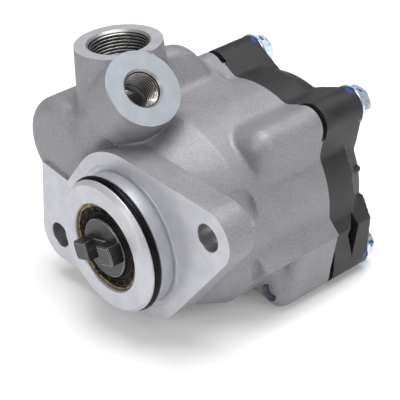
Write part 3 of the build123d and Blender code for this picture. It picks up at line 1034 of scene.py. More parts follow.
@dataclass(frozen=True)
class CutThread:
    """Cut thread flanks: bright crests over dark roots, told apart by the radius; the roots' near-black brown
    is painted shade with an oily tint.
    """

    name: str
    port: Port
    crest: float
    root: float
    dark_metal: Colour = (0.33, 0.315, 0.30)
    pale_metal: Colour = (0.48, 0.46, 0.44)
    oily_shaded_root: Colour = (0.018, 0.014, 0.012)
    metallic: float = 0.9
    cloud_size: float = 6.0

    def material(self) -> bpy.types.Material:
        """Builds the material."""
        shader = Shader(self.name)
        out_x, out_z = self.port.way()
        radius = shader.radius_from(self.port.centre, (out_x, 0.0, out_z))
        cloud = shader.noise(self.cloud_size, 2.0, 0.5)
        metal = shader.blend(cloud, self.dark_metal, self.pale_metal)
        # painted shade: the thread roots turn near-black brown by their radius from the port's axis
        colour = shader.blend(shader.ramp(radius, self.crest, self.root), metal, self.oily_shaded_root)
        shader.set(Base_Color=colour, Metallic=self.metallic)
        shader.set(Roughness=shader.ramp(cloud, 0.3, 0.7, 0.26, 0.32))
        return shader.material


@dataclass(frozen=True)
class JointShade:
    """The joint's faces between the lobes, near black: painted shade for the deep gap."""

    # painted shade: near-black colours stand in for the gap's deep shadow
    dark: Colour = (0.006, 0.006, 0.007)
    pale: Colour = (0.016, 0.016, 0.017)
    roughness: float = 0.7
    grain_size: float = 1.4

    def material(self) -> bpy.types.Material:
        """Builds the material."""
        shader = Shader("joint_shade")
        grain = shader.noise(self.grain_size, 3.0, 0.6)
        shader.set(Base_Color=shader.blend(grain, self.dark, self.pale), Roughness=self.roughness)
        return shader.material


@dataclass(frozen=True)
class DarkCover:
    """Dark coated casting of the rear cover: satin, with a soft orange-peel and paint dabs."""

    paint: MarkingPaint
    dark: Colour = (0.0155, 0.0148, 0.0166)
    pale: Colour = (0.0240, 0.0230, 0.0256)
    grain_size: float = 0.6
    cloud_size: float = 11.0
    peel_size: float = 2.2
    peel_depth: float = 0.12

    def material(self) -> bpy.types.Material:
        """Builds the material; paint is a little glossier than the coating."""
        shader = Shader("dark_cover")
        grain = shader.noise(self.grain_size, 4.0, 0.6)
        cloud = shader.noise(self.cloud_size, 3.0, 0.5)
        tone = shader.weighed(grain, 0.45, cloud, 0.55)
        coating = shader.blend(shader.ramp(tone, 0.35, 0.68), self.dark, self.pale)
        colour, cover = self.paint.over(shader, coating)
        height = shader.weighed(grain, 0.5, shader.noise(self.peel_size, 2.0, 0.5), 1.0)
        shader.set(Base_Color=colour, Metallic=0.0, Normal=shader.bump(height, self.peel_depth, 0.5))
        satin = shader.ramp(cloud, 0.3, 0.7, 0.46, 0.58)
        shader.set(Roughness=shader.weighed(satin, 1.0, cover, -0.12))
        return shader.material


@dataclass(frozen=True)
class ZincPlate:
    """Bluish zinc plate of the bolts, with paint dabs."""

    paint: MarkingPaint
    dark: Colour = (0.52, 0.63, 0.74)
    pale: Colour = (0.78, 0.85, 0.92)
    metallic: float = 0.85
    cloud_size: float = 2.4

    def material(self) -> bpy.types.Material:
        """Builds the material, which isn't metallic where paint covers it."""
        shader = Shader("zinc")
        cloud = shader.noise(self.cloud_size, 4.0, 0.6)
        plate = shader.blend(shader.ramp(cloud, 0.3, 0.7), self.dark, self.pale)
        colour, cover = self.paint.over(shader, plate)
        hidden = shader.maths("MULTIPLY", cover, self.metallic)
        shader.set(Base_Color=colour, Metallic=shader.maths("SUBTRACT", self.metallic, hidden))
        shader.set(Roughness=shader.ramp(cloud, 0.3, 0.7, 0.26, 0.36), Normal=shader.bump(cloud, 0.02, 0.3))
        return shader.material


@dataclass(frozen=True)
class BlackRubber:
    """Black nitrile rubber: smooth and slightly glossy, with faint dust."""

    dark: Colour = (0.002, 0.002, 0.0022)
    dusty: Colour = (0.006, 0.006, 0.0063)
    specular: float = 0.12
    dust_size: float = 3.0

    def material(self) -> bpy.types.Material:
        """Builds the material."""
        shader = Shader("black_rubber")
        dust = shader.noise(self.dust_size, 4.0, 0.65)
        colour = shader.blend(shader.ramp(dust, 0.5, 0.8), self.dark, self.dusty)
        shader.set(Base_Color=colour, Specular_IOR_Level=self.specular)
        shader.set(Roughness=shader.ramp(dust, 0.3, 0.7, 0.24, 0.32))
        shader.set(Normal=shader.bump(shader.noise(0.5, 2.0), 0.02, 0.4))
        return shader.material


@dataclass(frozen=True)
class SealMetal:
    """Golden-brown lacquered case of the shaft seal, uneven where the lacquer has run."""

    dark: Colour = (0.05, 0.027, 0.010)
    gold: Colour = (0.28, 0.195, 0.085)
    metallic: float = 0.6
    run_size: float = 1.8
    run_depth: float = 0.12

    def material(self) -> bpy.types.Material:
        """Builds the material."""
        shader = Shader("seal_metal")
        run = shader.noise(self.run_size, 5.0, 0.7)
        colour = shader.blend(shader.ramp(run, 0.42, 0.60), self.dark, self.gold)
        shader.set(Base_Color=colour, Metallic=self.metallic, Roughness=shader.ramp(run, 0.3, 0.7, 0.3, 0.5))
        shader.set(Normal=shader.bump(run, self.run_depth, 0.6))
        return shader.material


@dataclass(frozen=True)
class SealRubber:
    """Dark brown seal rubber with an oily sheen."""

    dark: Colour = (0.004, 0.0027, 0.0022)
    brown: Colour = (0.018, 0.011, 0.008)
    specular: float = 0.15
    smear_size: float = 2.2

    def material(self) -> bpy.types.Material:
        """Builds the material."""
        shader = Shader("seal_rubber")
        smear = shader.noise(self.smear_size, 4.0, 0.6)
        colour = shader.blend(shader.ramp(smear, 0.35, 0.68), self.dark, self.brown)
        shader.set(Base_Color=colour, Specular_IOR_Level=self.specular)
        shader.set(Roughness=shader.ramp(smear, 0.3, 0.7, 0.28, 0.5))
        shader.set(Normal=shader.bump(shader.noise(0.7, 3.0), 0.06, 0.5))
        return shader.material


@dataclass(frozen=True)
class TurnedMetal:
    """A metal with turning lines along the shaft: its two tones, its roughness and the lines' pitch."""

    name: str
    dark: Colour
    pale: Colour
    rough: tuple[float, float]
    streak: float
    metallic: float = 1.0
    stretch: tuple[float, float, float] = (0.12, 1.0, 0.12)
    cloud_size: float = 5.0

    def material(self) -> bpy.types.Material:
        """Builds the material: the lines are a noise stretched across the shaft."""
        shader = Shader(self.name)
        stretched = shader.vector("MULTIPLY", shader.spot, self.stretch)
        lines = shader.noise(self.streak, 3.0, 0.6, stretched)
        cloud = shader.noise(self.cloud_size, 3.0, 0.6)
        tone = shader.weighed(lines, 0.5, cloud, 0.5)
        colour = shader.blend(shader.ramp(tone, 0.32, 0.68), self.dark, self.pale)
        shader.set(Base_Color=colour, Metallic=self.metallic)
        shader.set(Roughness=shader.ramp(tone, 0.3, 0.7, *self.rough), Normal=shader.bump(lines, 0.02, 0.4))
        return shader.material


METALS = (
    # oiled spring wire
    TurnedMetal("spring_steel", (0.22, 0.22, 0.23), (0.42, 0.42, 0.43), (0.24, 0.36), 0.5),
    # ground and polished races and balls
    TurnedMetal("bearing_steel", (0.62, 0.62, 0.64), (0.80, 0.80, 0.82), (0.08, 0.16), 0.3),
    # pressed sheet of the bearing cage
    TurnedMetal("pressed_steel", (0.38, 0.38, 0.39), (0.56, 0.56, 0.57), (0.28, 0.42), 0.8),
    # dark turned and hardened shaft
    TurnedMetal("shaft_steel", (0.032, 0.031, 0.034), (0.058, 0.057, 0.061), (0.30, 0.44), 0.3, 0.6),
    # painted highlight: the shaft's bevelled edges in a bright metal, for edge glints
    TurnedMetal("painted_edge_highlight", (0.26, 0.26, 0.27), (0.44, 0.44, 0.45), (0.26, 0.36), 0.3, 0.8),
    # ground rotor, vanes, cam ring and spool
    TurnedMetal("ground_steel", (0.46, 0.46, 0.48), (0.66, 0.66, 0.68), (0.14, 0.26), 0.25),
    # lapped side plates
    TurnedMetal("sintered_iron", (0.20, 0.20, 0.21), (0.36, 0.36, 0.37), (0.3, 0.46), 0.4),
    # bored rear bush
    TurnedMetal("bush_bronze", (0.40, 0.24, 0.08), (0.68, 0.46, 0.20), (0.22, 0.36), 0.3),
)


@dataclass
class Finishes:
    """All the pump's materials, each made once, when it is first asked for."""

    recipes: dict[Finish, FinishRecipe]
    made: dict[Finish, bpy.types.Material] = field(default_factory=dict)

    def get(self, finish: Finish) -> bpy.types.Material:
        """The material of a finish."""
        if finish not in self.made:
            self.made[finish] = self.recipes[finish].material()
        return self.made[finish]


def pump_finishes(pressure: Port, suction: Port, paint: MarkingPaint) -> Finishes:
    """Every finish of the pump.

    Args:
        pressure: the pressure port.
        suction: the suction port.
        paint: the marking paint on cover and bolts.

    Returns:
        The finishes, ready to be asked for.
    """
    return Finishes({
        Finish.CAST_ALUMINIUM: CastAluminium(),
        Finish.MACHINED_FACE: MachinedFace(pressure),
        Finish.TURNED_BORE: TurnedBore(),
        Finish.SUCTION_THREAD: CutThread("suction_thread_shade", suction, 12.25, 12.75),
        Finish.PRESSURE_THREAD: CutThread("pressure_thread_shade", pressure, 7.25, 7.75),
        Finish.JOINT_SHADE: JointShade(),
        Finish.DARK_COVER: DarkCover(paint),
        Finish.ZINC: ZincPlate(paint),
        Finish.BLACK_RUBBER: BlackRubber(),
        Finish.SEAL_METAL: SealMetal(),
        Finish.SEAL_RUBBER: SealRubber(),
        **{Finish(metal.name): metal for metal in METALS},
    })


# Sizes that several pieces share

PRESSURE_PORT = Port((-0.6, 17.1, 63.0), 41.6)
SUCTION_PORT = Port((-27.2, 26.3, 73.6), 90.0)
JOINT = 76.0
COVER_END = 99.7
BOLT_CIRCLE = 50.3
BOLT_ANGLES = (45.0, 120.0, -45.0, -135.0)
BARREL_RADIUS = 45.2
FLANGE_THICKNESS = 13.5
HOLE_REACH = 57.3
HOLE_ANGLE = 20.7
LOBE_RADIUS = 8.6
LOBE_ROOTS = (16.5, 15.2, 16.5, 16.5)
# each lobe's front station, the rounding of its front end and its fillet to the barrel
LOBE_FRONTS = ((40.0, 8.5, 1.6), (40.0, 7.0, 2.4), (46.0, 6.0, 2.5), (46.0, 6.0, 2.5))
RELIEF_RADIUS = 52.2
HEAD_END = 106.8
TANG_ANGLE = 14.0
# the two sides of the shaft that the flange's ears lie on, in degrees from its first ear
OPPOSITE = (0.0, 180.0)
# a radius past everything that a turned tool has to clear
WIDE = 95.0
# material numbers of the housing's machined faces, bores and joint; the joint's faces carry painted shade
FACED, BORED, SHADED = 1, 2, 3


def on_circle(radius: float, angle: float) -> tuple[float, float]:
    """X and Z of a point on a circle about the shaft."""
    turn = math.radians(angle)
    return radius * math.cos(turn), radius * math.sin(turn)


def lobe_outlines() -> tuple[Array, ...]:
    """Outlines of the four bolt lobes: a belt round each bolt's boss and a wider root in the barrel.

    Returns:
        The four outlines.
    """
    root_circle = 34.0
    belts = []
    for angle, root_radius in zip(BOLT_ANGLES, LOBE_ROOTS):
        boss = (*on_circle(BOLT_CIRCLE, angle), LOBE_RADIUS)
        belts.append(hull_outline([boss, (*on_circle(root_circle, angle), root_radius)]))
    return tuple(belts)


@dataclass
class Housing:
    """The cast aluminium housing with its flange, pilot, ports and bolt lobes."""

    finishes: Finishes
    grid_step: float = 1.0
    hub_radius: float = 38.5
    ear_radius: float = 13.0
    neck_radius: float = 38.0
    barrel_start: float = 31.5
    nut_recess_radius: float = 16.0
    nut_recess_end: float = 36.5
    end_boss: tuple[float, float] = (-49.3, 25.3)
    end_boss_radius: float = 22.0
    valve_boss_radius: float = 14.8
    port_boss_radius: float = 17.0
    suction_boss_radius: float = 19.2
    suction_root_radius: float = 22.0
    suction_flare_length: float = 46.0
    pad_top: tuple[float, float] = (44.9, -7.6)
    pad_side: tuple[float, float] = (50.4, -14.2)
    pad_inner: float = 20.0
    pad_short_foot: tuple[float, float] = (38.6, -23.0)
    pad_front: float = 33.0
    pad_full_front: float = 51.0
    shelf_end: float = 70.0
    shelf_floor: float = 36.0
    hump_front: float = 20.0
    hump_rear_middle: float = 50.5
    hump_rear_floor: float = 48.0
    hump_rear_reach: float = 15.9
    hump_rounding: float = 4.0
    pilot_radius: float = 30.0
    pilot_end: float = -13.0
    groove_radius: float = 27.4
    groove_front: float = -10.15
    groove_rear: float = -6.35
    seal_bore: float = 20.0
    seal_bore_end: float = 9.5
    shaft_bore: float = 9.5
    chamber_start: float = 26.5
    chamber_radius: float = 37.0
    flange_hole_radius: float = 6.0
    bolt_hole_radius: float = 4.25
    flange_outline: Array = field(init=False)
    side_outline: Array = field(init=False)
    shelf_outline: Array = field(init=False)
    hump_outline: Array = field(init=False)
    lobes: tuple[Array, ...] = field(init=False)

    def __post_init__(self) -> None:
        """Works out the flat outlines."""
        ears = [(*on_circle(HOLE_REACH, HOLE_ANGLE + half), self.ear_radius) for half in OPPOSITE]
        self.flange_outline = hull_outline([(0.0, 0.0, self.hub_radius), *ears])
        left_x, left_z = on_circle(HOLE_REACH, HOLE_ANGLE + 180.0)
        self.side_outline = np.array([
            (-28.2, 26.2), (-41.0, 12.4), (-59.5, 16.0), (left_x - self.ear_radius, left_z), (left_x, left_z),
        ])[::-1]
        floor = self.shelf_floor
        self.shelf_outline = np.array([
            (-24.0, 47.6), (-14.0, 46.8), (4.9, 44.9), (0.0, floor), (-24.0, floor),
        ])[::-1]
        self.hump_outline = hull_outline([
            (-28.0, 54.2, 8.0), (-15.0, 46.4, 1.0), (-28.0, floor, 8.0), (-15.0, floor, 1.0),
        ])
        self.lobes = lobe_outlines()

    def casting(self, x: Array, y: Array, z: Array) -> Array:
        """The housing as cast: flange, neck, barrel, lobes, pads and bosses joined with fillets.

        Args:
            x: X of the points.
            y: Y of the points.
            z: Z of the points.

        Returns:
            Distance to the casting, negative inside.
        """
        flange_side = outline_distance(x, z, self.flange_outline)
        plate_side = np.minimum(flange_side, outline_distance(x, z, self.side_outline))
        plate = edge_rounded(plate_side, slab(y, -3.0, FLANGE_THICKNESS), 0.6)
        shelf_length = slab(y, self.barrel_start, self.shelf_end)
        shelf = edge_rounded(outline_distance(x, z, self.shelf_outline), shelf_length, 2.0)
        body = np.minimum(self.barrel(x, y, z), shelf)
        body = smooth_join(body, self.inlet_hump(x, y, z), 2.0)
        for outline, (front, end_round, reach) in zip(self.lobes, LOBE_FRONTS):
            lobe = edge_rounded(outline_distance(x, z, outline), slab(y, front, JOINT + 10.0), end_round)
            body = smooth_join(body, lobe, reach)
        for half in OPPOSITE:
            hole = on_circle(HOLE_REACH, HOLE_ANGLE + half)
            recess = round_bar(x, y, z, hole, self.nut_recess_radius, -20.0, self.nut_recess_end, 5.0)
            body = smooth_cut(body, recess, 0.8)
        body = smooth_join(body, self.side_pad(x, y, z), 1.0)
        body = smooth_join(body, plate, 1.0)
        return smooth_join(body, self.bosses(x, y, z), np.clip(0.25 * (y - 2.0), 0.2, 3.0))

    def barrel(self, x: Array, y: Array, z: Array) -> Array:
        """The round neck behind the flange, which widens as a cone to the full barrel.

        Args:
            x: X of the points.
            y: Y of the points.
            z: Z of the points.

        Returns:
            Distance to the barrel, negative inside.
        """
        length = self.barrel_start - FLANGE_THICKNESS
        slope = (BARREL_RADIUS - self.neck_radius) / length
        widening = self.neck_radius + np.clip(y - FLANGE_THICKNESS, 0.0, length) * slope
        side = (np.hypot(x, z) - widening) / math.hypot(1.0, slope)
        return np.maximum(side, slab(y, 4.0, JOINT + 3.0))

    def bosses(self, x: Array, y: Array, z: Array) -> Array:
        """The two ports' bosses with the valve's boss between them, kept behind the flange's face.

        The fillets shrink near the machined faces, so that each face keeps its round outline.

        Args:
            x: X of the points.
            y: Y of the points.
            z: Z of the points.

        Returns:
            Distance to the group of bosses, negative inside.
        """
        left = round_bar(x, y, z, self.end_boss, self.end_boss_radius, 1.5, 42.0, 7.0)
        depth, radius = PRESSURE_PORT.depth_and_radius(x, y, z)
        valve = edge_rounded(radius - self.valve_boss_radius, np.abs(depth - 39.0) - 29.0, 3.0)
        port = edge_rounded(radius - self.port_boss_radius, np.abs(depth - 9.0) - 13.0, 0.6)
        fall, out = SUCTION_PORT.depth_and_radius(x, y, z)
        flare = (self.suction_root_radius - self.suction_boss_radius) / self.suction_flare_length
        suction_side = out - self.suction_boss_radius - np.clip(fall, 0.0, self.suction_flare_length) * flare
        suction = edge_rounded(suction_side, np.abs(fall - 21.5) - 24.5, 0.6)
        group = smooth_join(smooth_join(valve, port, 3.0), left, 4.0)
        group = smooth_join(group, suction, np.clip(0.2 * (depth - 3.0), 0.15, 1.2))
        return edge_rounded(group, 0.5 - y, 1.0)

    def side_pad(self, x: Array, y: Array, z: Array) -> Array:
        """The flat-sided pad above the lower right lobe, in a short front stage and a full rear one.

        Args:
            x: X of the points.
            y: Y of the points.
            z: Z of the points.

        Returns:
            Distance to the pad, negative inside.
        """
        lower = on_circle(BOLT_CIRCLE, BOLT_ANGLES[2])
        top, side, inner, foot = self.pad_top, self.pad_side, self.pad_inner, self.pad_short_foot
        short = np.array([top, side, foot, (inner, foot[1]), (inner, top[1])])[::-1]
        corner = (lower[0] + LOBE_RADIUS, lower[1])
        full = np.array([top, side, corner, (inner, lower[1]), (inner, top[1])])[::-1]
        front = edge_rounded(outline_distance(x, z, short), slab(y, self.pad_front, JOINT + 8.0), 0.7)
        rear = edge_rounded(outline_distance(x, z, full), slab(y, self.pad_full_front, JOINT + 8.0), 6.0)
        return np.minimum(front, rear)

    def inlet_hump(self, x: Array, y: Array, z: Array) -> Array:
        """The broad rib over the suction passage: a flat right flank under a round top that falls rearwards.

        Its length is limited by a cylinder across the shaft, so that only the top falls and the flank stays
        flat.

        Args:
            x: X of the points.
            y: Y of the points.
            z: Z of the points.

        Returns:
            Distance to the hump, negative inside.
        """
        side = np.maximum(outline_distance(x, z, self.hump_outline), self.hump_front - y)
        behind = np.maximum(y - self.hump_rear_middle, 0.0)
        above = np.maximum(z - self.hump_rear_floor, 0.0)
        return edge_rounded(side, np.hypot(behind, above) - self.hump_rear_reach, self.hump_rounding)

    def build(self) -> bpy.types.Object:
        """Makes the casting and machines it.

        Returns:
            The housing piece.
        """
        points, faces = net_of(self.casting, (-76.0, -6.0, -48.0), (72.0, 86.0, 81.0), self.grid_step)
        finishes = (Finish.CAST_ALUMINIUM, Finish.MACHINED_FACE, Finish.TURNED_BORE, Finish.JOINT_SHADE)
        materials = [self.finishes.get(name) for name in finishes]
        blank = new_piece("housing_casting", points, faces, 60.0, materials)
        # the pilot stands in front of the casting, so its stock is added before it is turned
        stock = turned_piece("pilot_stock", [(0.0, -15.0), (31.5, -15.0), (31.5, 2.0), (0.0, 2.0)], 192)
        add_stock(blank, stock)
        carve(blank, self.cutters(), 30.0)
        even_normals(blank)
        return blank

    def cutters(self) -> list[tuple[bpy.types.Object, int]]:
        """The tools that machine the housing.

        Returns:
            Each tool with the material number of its cut.
        """
        # the joint tool's faces are painted near black as shade for the deep gap
        tools = [(self.front_tool(), FACED), (self.joint_tool(), SHADED)]
        edge, floor = self.flange_hole_radius, FLANGE_THICKNESS - 1.8
        for number, half in enumerate(OPPOSITE):
            hole = turned_piece(f"flange_hole_{number}", [
                (0.0, -3.0), (edge + 3.3, -3.0), (edge + 0.3, 0.0), (edge, 0.3), (edge, floor),
                (edge + 3.3, floor + 3.3), (0.0, floor + 3.3),
            ], 96, place=carried_to(on_circle(HOLE_REACH, HOLE_ANGLE + half)))
            tools.append((hole, BORED))
        for number, angle in enumerate(BOLT_ANGLES):
            start, end, radius = (48.3 if number < 2 else 40.0), 90.0, self.bolt_hole_radius
            hole = turned_piece(f"bolt_hole_{number}", [
                (0.0, start), (radius, start), (radius, end), (0.0, end),
            ], 64, place=carried_to(on_circle(BOLT_CIRCLE, angle)))
            tools.append((hole, BORED))
        suction_face = port_tool("suction_face", SUCTION_PORT, [
            (0.0, -30.0), (24.0, -30.0), (24.0, 0.0), (0.0, 0.0),
        ])
        # the pressure boss stands a little above the suction face, so the facing tool passes round it
        boss = self.port_boss_radius + 0.02
        kept = port_tool("kept_boss", PRESSURE_PORT, [(0.0, -5.0), (boss, -5.0), (boss, 20.0), (0.0, 20.0)])
        carve(suction_face, [(kept, 0)], 30.0)
        tools.append((suction_face, FACED))
        tools.append((port_tool("pressure_face", PRESSURE_PORT, [
            (0.0, -30.0), (17.6, -30.0), (17.6, 0.0), (0.0, 0.0),
        ]), FACED))
        tools.append((port_tool("pressure_bore", PRESSURE_PORT, [
            (0.0, -1.0), (9.9, -1.0), (8.0, 0.9), (8.0, 14.2), (7.0, 15.0), (7.0, 62.0), (0.0, 65.5),
        ]), BORED))
        tools.append((port_tool("suction_bore", SUCTION_PORT, [
            (0.0, -1.0), (15.0, -1.0), (13.0, 1.0), (13.0, 13.2), (11.0, 14.0), (11.0, 20.0), (0.0, 25.5),
        ]), BORED))
        return tools

    def front_tool(self) -> bpy.types.Object:
        """The tool that turns the flange's face with its ring line, the pilot with its groove, and the bore.

        Returns:
            The tool.
        """
        land, face, bore = self.pilot_radius, self.pilot_end, self.seal_bore
        groove, groove_front, groove_rear = self.groove_radius, self.groove_front, self.groove_rear
        line_inner, line_outer, line_depth, line_slope = 31.95, 32.75, 0.14, 0.2
        snap_front, snap_rear, snap_depth = -4.0, -2.5, 1.0
        return turned_piece("front_cut", [
            (0.0, -40.0), (WIDE, -40.0), (WIDE, 0.0),
            (line_outer, 0.0), (line_outer - line_slope, line_depth), (line_inner + line_slope, line_depth),
            (line_inner, 0.0), (land + 0.35, 0.0), (land - 0.35, 0.35), (land - 0.35, -0.45), (land, -0.75),
            (land, groove_rear + 0.2), (land - 0.25, groove_rear), (groove, groove_rear),
            (groove, groove_front), (land - 0.25, groove_front), (land, groove_front - 0.2),
            (land, -11.1), (28.7, -12.75), (28.2, face),
            (bore + 0.6, face), (bore + 0.05, -12.4), (bore, -12.3),
            (bore, snap_front), (bore + snap_depth, snap_front), (bore + snap_depth, snap_rear),
            (bore, snap_rear),
            (bore, self.seal_bore_end), (self.shaft_bore, self.seal_bore_end),
            (self.shaft_bore, self.chamber_start), (0.0, self.chamber_start),
        ], 256)

    def joint_tool(self) -> bpy.types.Object:
        """The tool that faces the joint, sinks its rim between the lobes and opens the pump's chamber.

        Returns:
            The tool.
        """
        start, end, chamber = self.chamber_start - 0.5, JOINT + 44.0, self.chamber_radius
        rim = JOINT - 1.0
        return turned_piece("joint_cut", [
            (0.0, start), (chamber, start), (chamber, JOINT), (RELIEF_RADIUS, JOINT), (RELIEF_RADIUS, rim),
            (WIDE, rim), (WIDE, end), (0.0, end),
        ], 192)


@dataclass
class RearCover:
    """The dark cast cover bolted on the housing's rear."""

    finishes: Finishes
    grid_step: float = 1.0
    front: float = JOINT - 6.0
    shoulder: float = 91.3
    taper: float = 0.42
    shoulder_step: float = 0.7
    pad_top: tuple[float, float] = (42.8, -6.3)
    pad_side: tuple[float, float] = (47.1, -16.5)
    pad_inner: float = 20.0
    nub_start: tuple[float, float, float] = (39.0, 96.9, 7.0)
    nub_end: tuple[float, float, float] = (41.6, 97.4, 7.2)
    nub_radius: float = 1.5
    recess_radius: float = 24.5
    recess_half_width: float = 7.5
    rib_half_width: float = 2.25
    rib_angles: tuple[float, ...] = (0.0, 45.0, 90.0, 135.0)
    pocket_corners: tuple[tuple[float, float], ...] = (
        (84.5, -19.3), (89.7, -9.0), (92.0, -16.3), (89.3, -35.3),
    )
    lobes: tuple[Array, ...] = field(init=False)

    def __post_init__(self) -> None:
        """Works out the lobes' outlines."""
        self.lobes = lobe_outlines()

    def casting(self, x: Array, y: Array, z: Array) -> Array:
        """The cover as cast: a barrel that narrows to the rear, four lobes, the side pad and a ribbed rear.

        Args:
            x: X of the points.
            y: Y of the points.
            z: Z of the points.

        Returns:
            Distance to the casting, negative inside.
        """
        about_shaft = np.hypot(x, z)
        length = slab(y, self.front, COVER_END)
        past = y - self.shoulder
        narrowing = BARREL_RADIUS - np.clip(past, 0.0, COVER_END - self.shoulder) * self.taper
        step = np.clip(past * 3.0, 0.0, 1.0) * self.shoulder_step
        body = edge_rounded(about_shaft - narrowing + step, length, 1.4)
        for outline in self.lobes:
            body = smooth_join(body, edge_rounded(outline_distance(x, z, outline), length, 0.9), 1.5)
        lower, inner = on_circle(BOLT_CIRCLE, BOLT_ANGLES[2]), self.pad_inner
        pad = np.array([self.pad_top, self.pad_side, (lower[0] + LOBE_RADIUS, lower[1]), (inner, lower[1]),
                        (inner, self.pad_top[1])])[::-1]
        body = smooth_join(body, edge_rounded(outline_distance(x, z, pad), length, 0.6), 1.2)
        body = smooth_join(body, capsule(x, y, z, self.nub_start, self.nub_end, self.nub_radius), 1.0)
        recess_side = np.abs(about_shaft - self.recess_radius) - self.recess_half_width
        recess = edge_rounded(recess_side, slab(y, COVER_END - 8.0, COVER_END + 6.0), 1.5)
        across = [np.abs(-np.sin(turn) * x + np.cos(turn) * z) for turn in np.radians(self.rib_angles)]
        pockets = smooth_cut(recess, np.minimum.reduce(across) - self.rib_half_width, 1.5)
        return smooth_cut(body, pockets, 1.2)

    def build(self) -> bpy.types.Object:
        """Makes the cover, faces its joint and bolt seats, and cuts the pocket in its side.

        Returns:
            The cover piece.
        """
        points, faces = net_of(self.casting, (-50.0, 68.0, -50.0), (52.0, 104.0, 57.0), self.grid_step)
        materials = [self.finishes.get(Finish.DARK_COVER), self.finishes.get(Finish.JOINT_SHADE)]
        cover = new_piece("rear_cover_casting", points, faces, 60.0, materials)
        rim, spigot, bush_radius, bush_end = JOINT + 1.6, 36.9, 9.0, 84.0
        front = turned_piece("cover_joint_cut", [
            (0.0, 60.0), (WIDE, 60.0), (WIDE, rim), (RELIEF_RADIUS, rim), (RELIEF_RADIUS, JOINT),
            (spigot, JOINT), (spigot, 69.5), (bush_radius, 69.5), (bush_radius, bush_end), (0.0, bush_end),
        ], 192)
        # the cover's joint faces are painted near black as shade for the deep gap
        tools = [(front, 1)]
        hole, seat_radius, seat, end = 4.5, 9.2, COVER_END - 0.2, 110.0
        for number, angle in enumerate(BOLT_ANGLES):
            tools.append((turned_piece(f"cover_hole_{number}", [
                (0.0, 70.0), (hole, 70.0), (hole, seat), (seat_radius, seat), (seat_radius, end), (0.0, end),
            ], 64, place=carried_to(on_circle(BOLT_CIRCLE, angle))), 0))
        tools.append((self.pocket_cutter(), 0))
        carve(cover, tools, 34.0)
        even_normals(cover)
        return cover

    def pocket_cutter(self) -> bpy.types.Object:
        """The slanted four-sided pocket in the cover's right side, as a prism that tapers inwards.

        Returns:
            The cutter.
        """
        inner_x, outer_x, taper = 39.0, 62.0, 0.82
        corners = np.array(self.pocket_corners)
        middle = corners.mean(axis=0)
        inner = middle + (corners - middle) * taper
        points = np.concatenate([
            np.column_stack([np.full(4, inner_x), inner]), np.column_stack([np.full(4, outer_x), corners]),
        ])
        faces = [(0, 1, 5, 4), (1, 2, 6, 5), (2, 3, 7, 6), (3, 0, 4, 7), (3, 2, 1, 0), (4, 5, 6, 7)]
        cutter = new_piece("side_pocket", points, faces)
        turn_outwards(cutter)
        return cutter


def turn_outwards(piece: bpy.types.Object) -> None:
    """Flips a closed mesh whose faces point inwards, judged by its signed volume.

    Args:
        piece: the piece.
    """
    mesh = piece.data
    mesh.calc_loop_triangles()
    corners = np.empty(len(mesh.loop_triangles) * 3, dtype=np.int32)
    mesh.loop_triangles.foreach_get("vertices", corners)
    spots = np.empty(len(mesh.vertices) * 3, dtype=np.float32)
    mesh.vertices.foreach_get("co", spots)
    a, b, c = spots.reshape(-1, 3)[corners.reshape(-1, 3)].transpose(1, 0, 2)
    if float((np.cross(a, b) * c).sum()) < 0:
        mesh.flip_normals()


@dataclass
class ThreadedBore:
    """A thread cut in a port: a closed sleeve whose inner wall is a helix of V grooves."""

    name: str
    port: Port
    core: float
    root: float
    top: float
    bottom: float
    pitch: float = 1.5
    steps: int = 144
    rows_per_turn: int = 14
    back_wall: float = 0.06

    def build(self, material: bpy.types.Material) -> bpy.types.Object:
        """Makes the sleeve.

        The inner radius at angle a and depth t is the core radius plus the groove's depth times a flat-topped
        V of the share (t / pitch - a / full turn), and it fades in over the first and last half turn.

        Args:
            material: the thread's finish.

        Returns:
            The sleeve.
        """
        rows = int((self.bottom - self.top) / (self.pitch / self.rows_per_turn))
        depth = np.linspace(self.top, self.bottom, rows)
        turn = np.linspace(0.0, 1.0, self.steps, endpoint=False)
        share = (depth[:, None] / self.pitch - turn[None, :]) % 1.0
        vee = np.clip(1.35 - np.abs(share - 0.5) * 3.1, 0.0, 1.0)
        from_end = np.minimum(depth - self.top, self.bottom - depth)
        fade = np.clip(from_end / (self.pitch * 0.5), 0.0, 1.0)[:, None]
        radii = self.core + (self.root - self.core) * np.maximum(vee, 1.0 - fade)
        outer = np.full((1, self.steps), self.root + self.back_wall)
        stations = np.concatenate([depth[:1], depth, depth[-1:]])
        points = turned_points(np.concatenate([outer, radii, outer]), stations, self.steps)
        quads = wrapped_quads(rows + 2, self.steps, close_rows=True)
        sleeve = new_piece(self.name, self.port.place_turned(points), quads, 50.0, [material])
        turn_outwards(sleeve)
        return sleeve


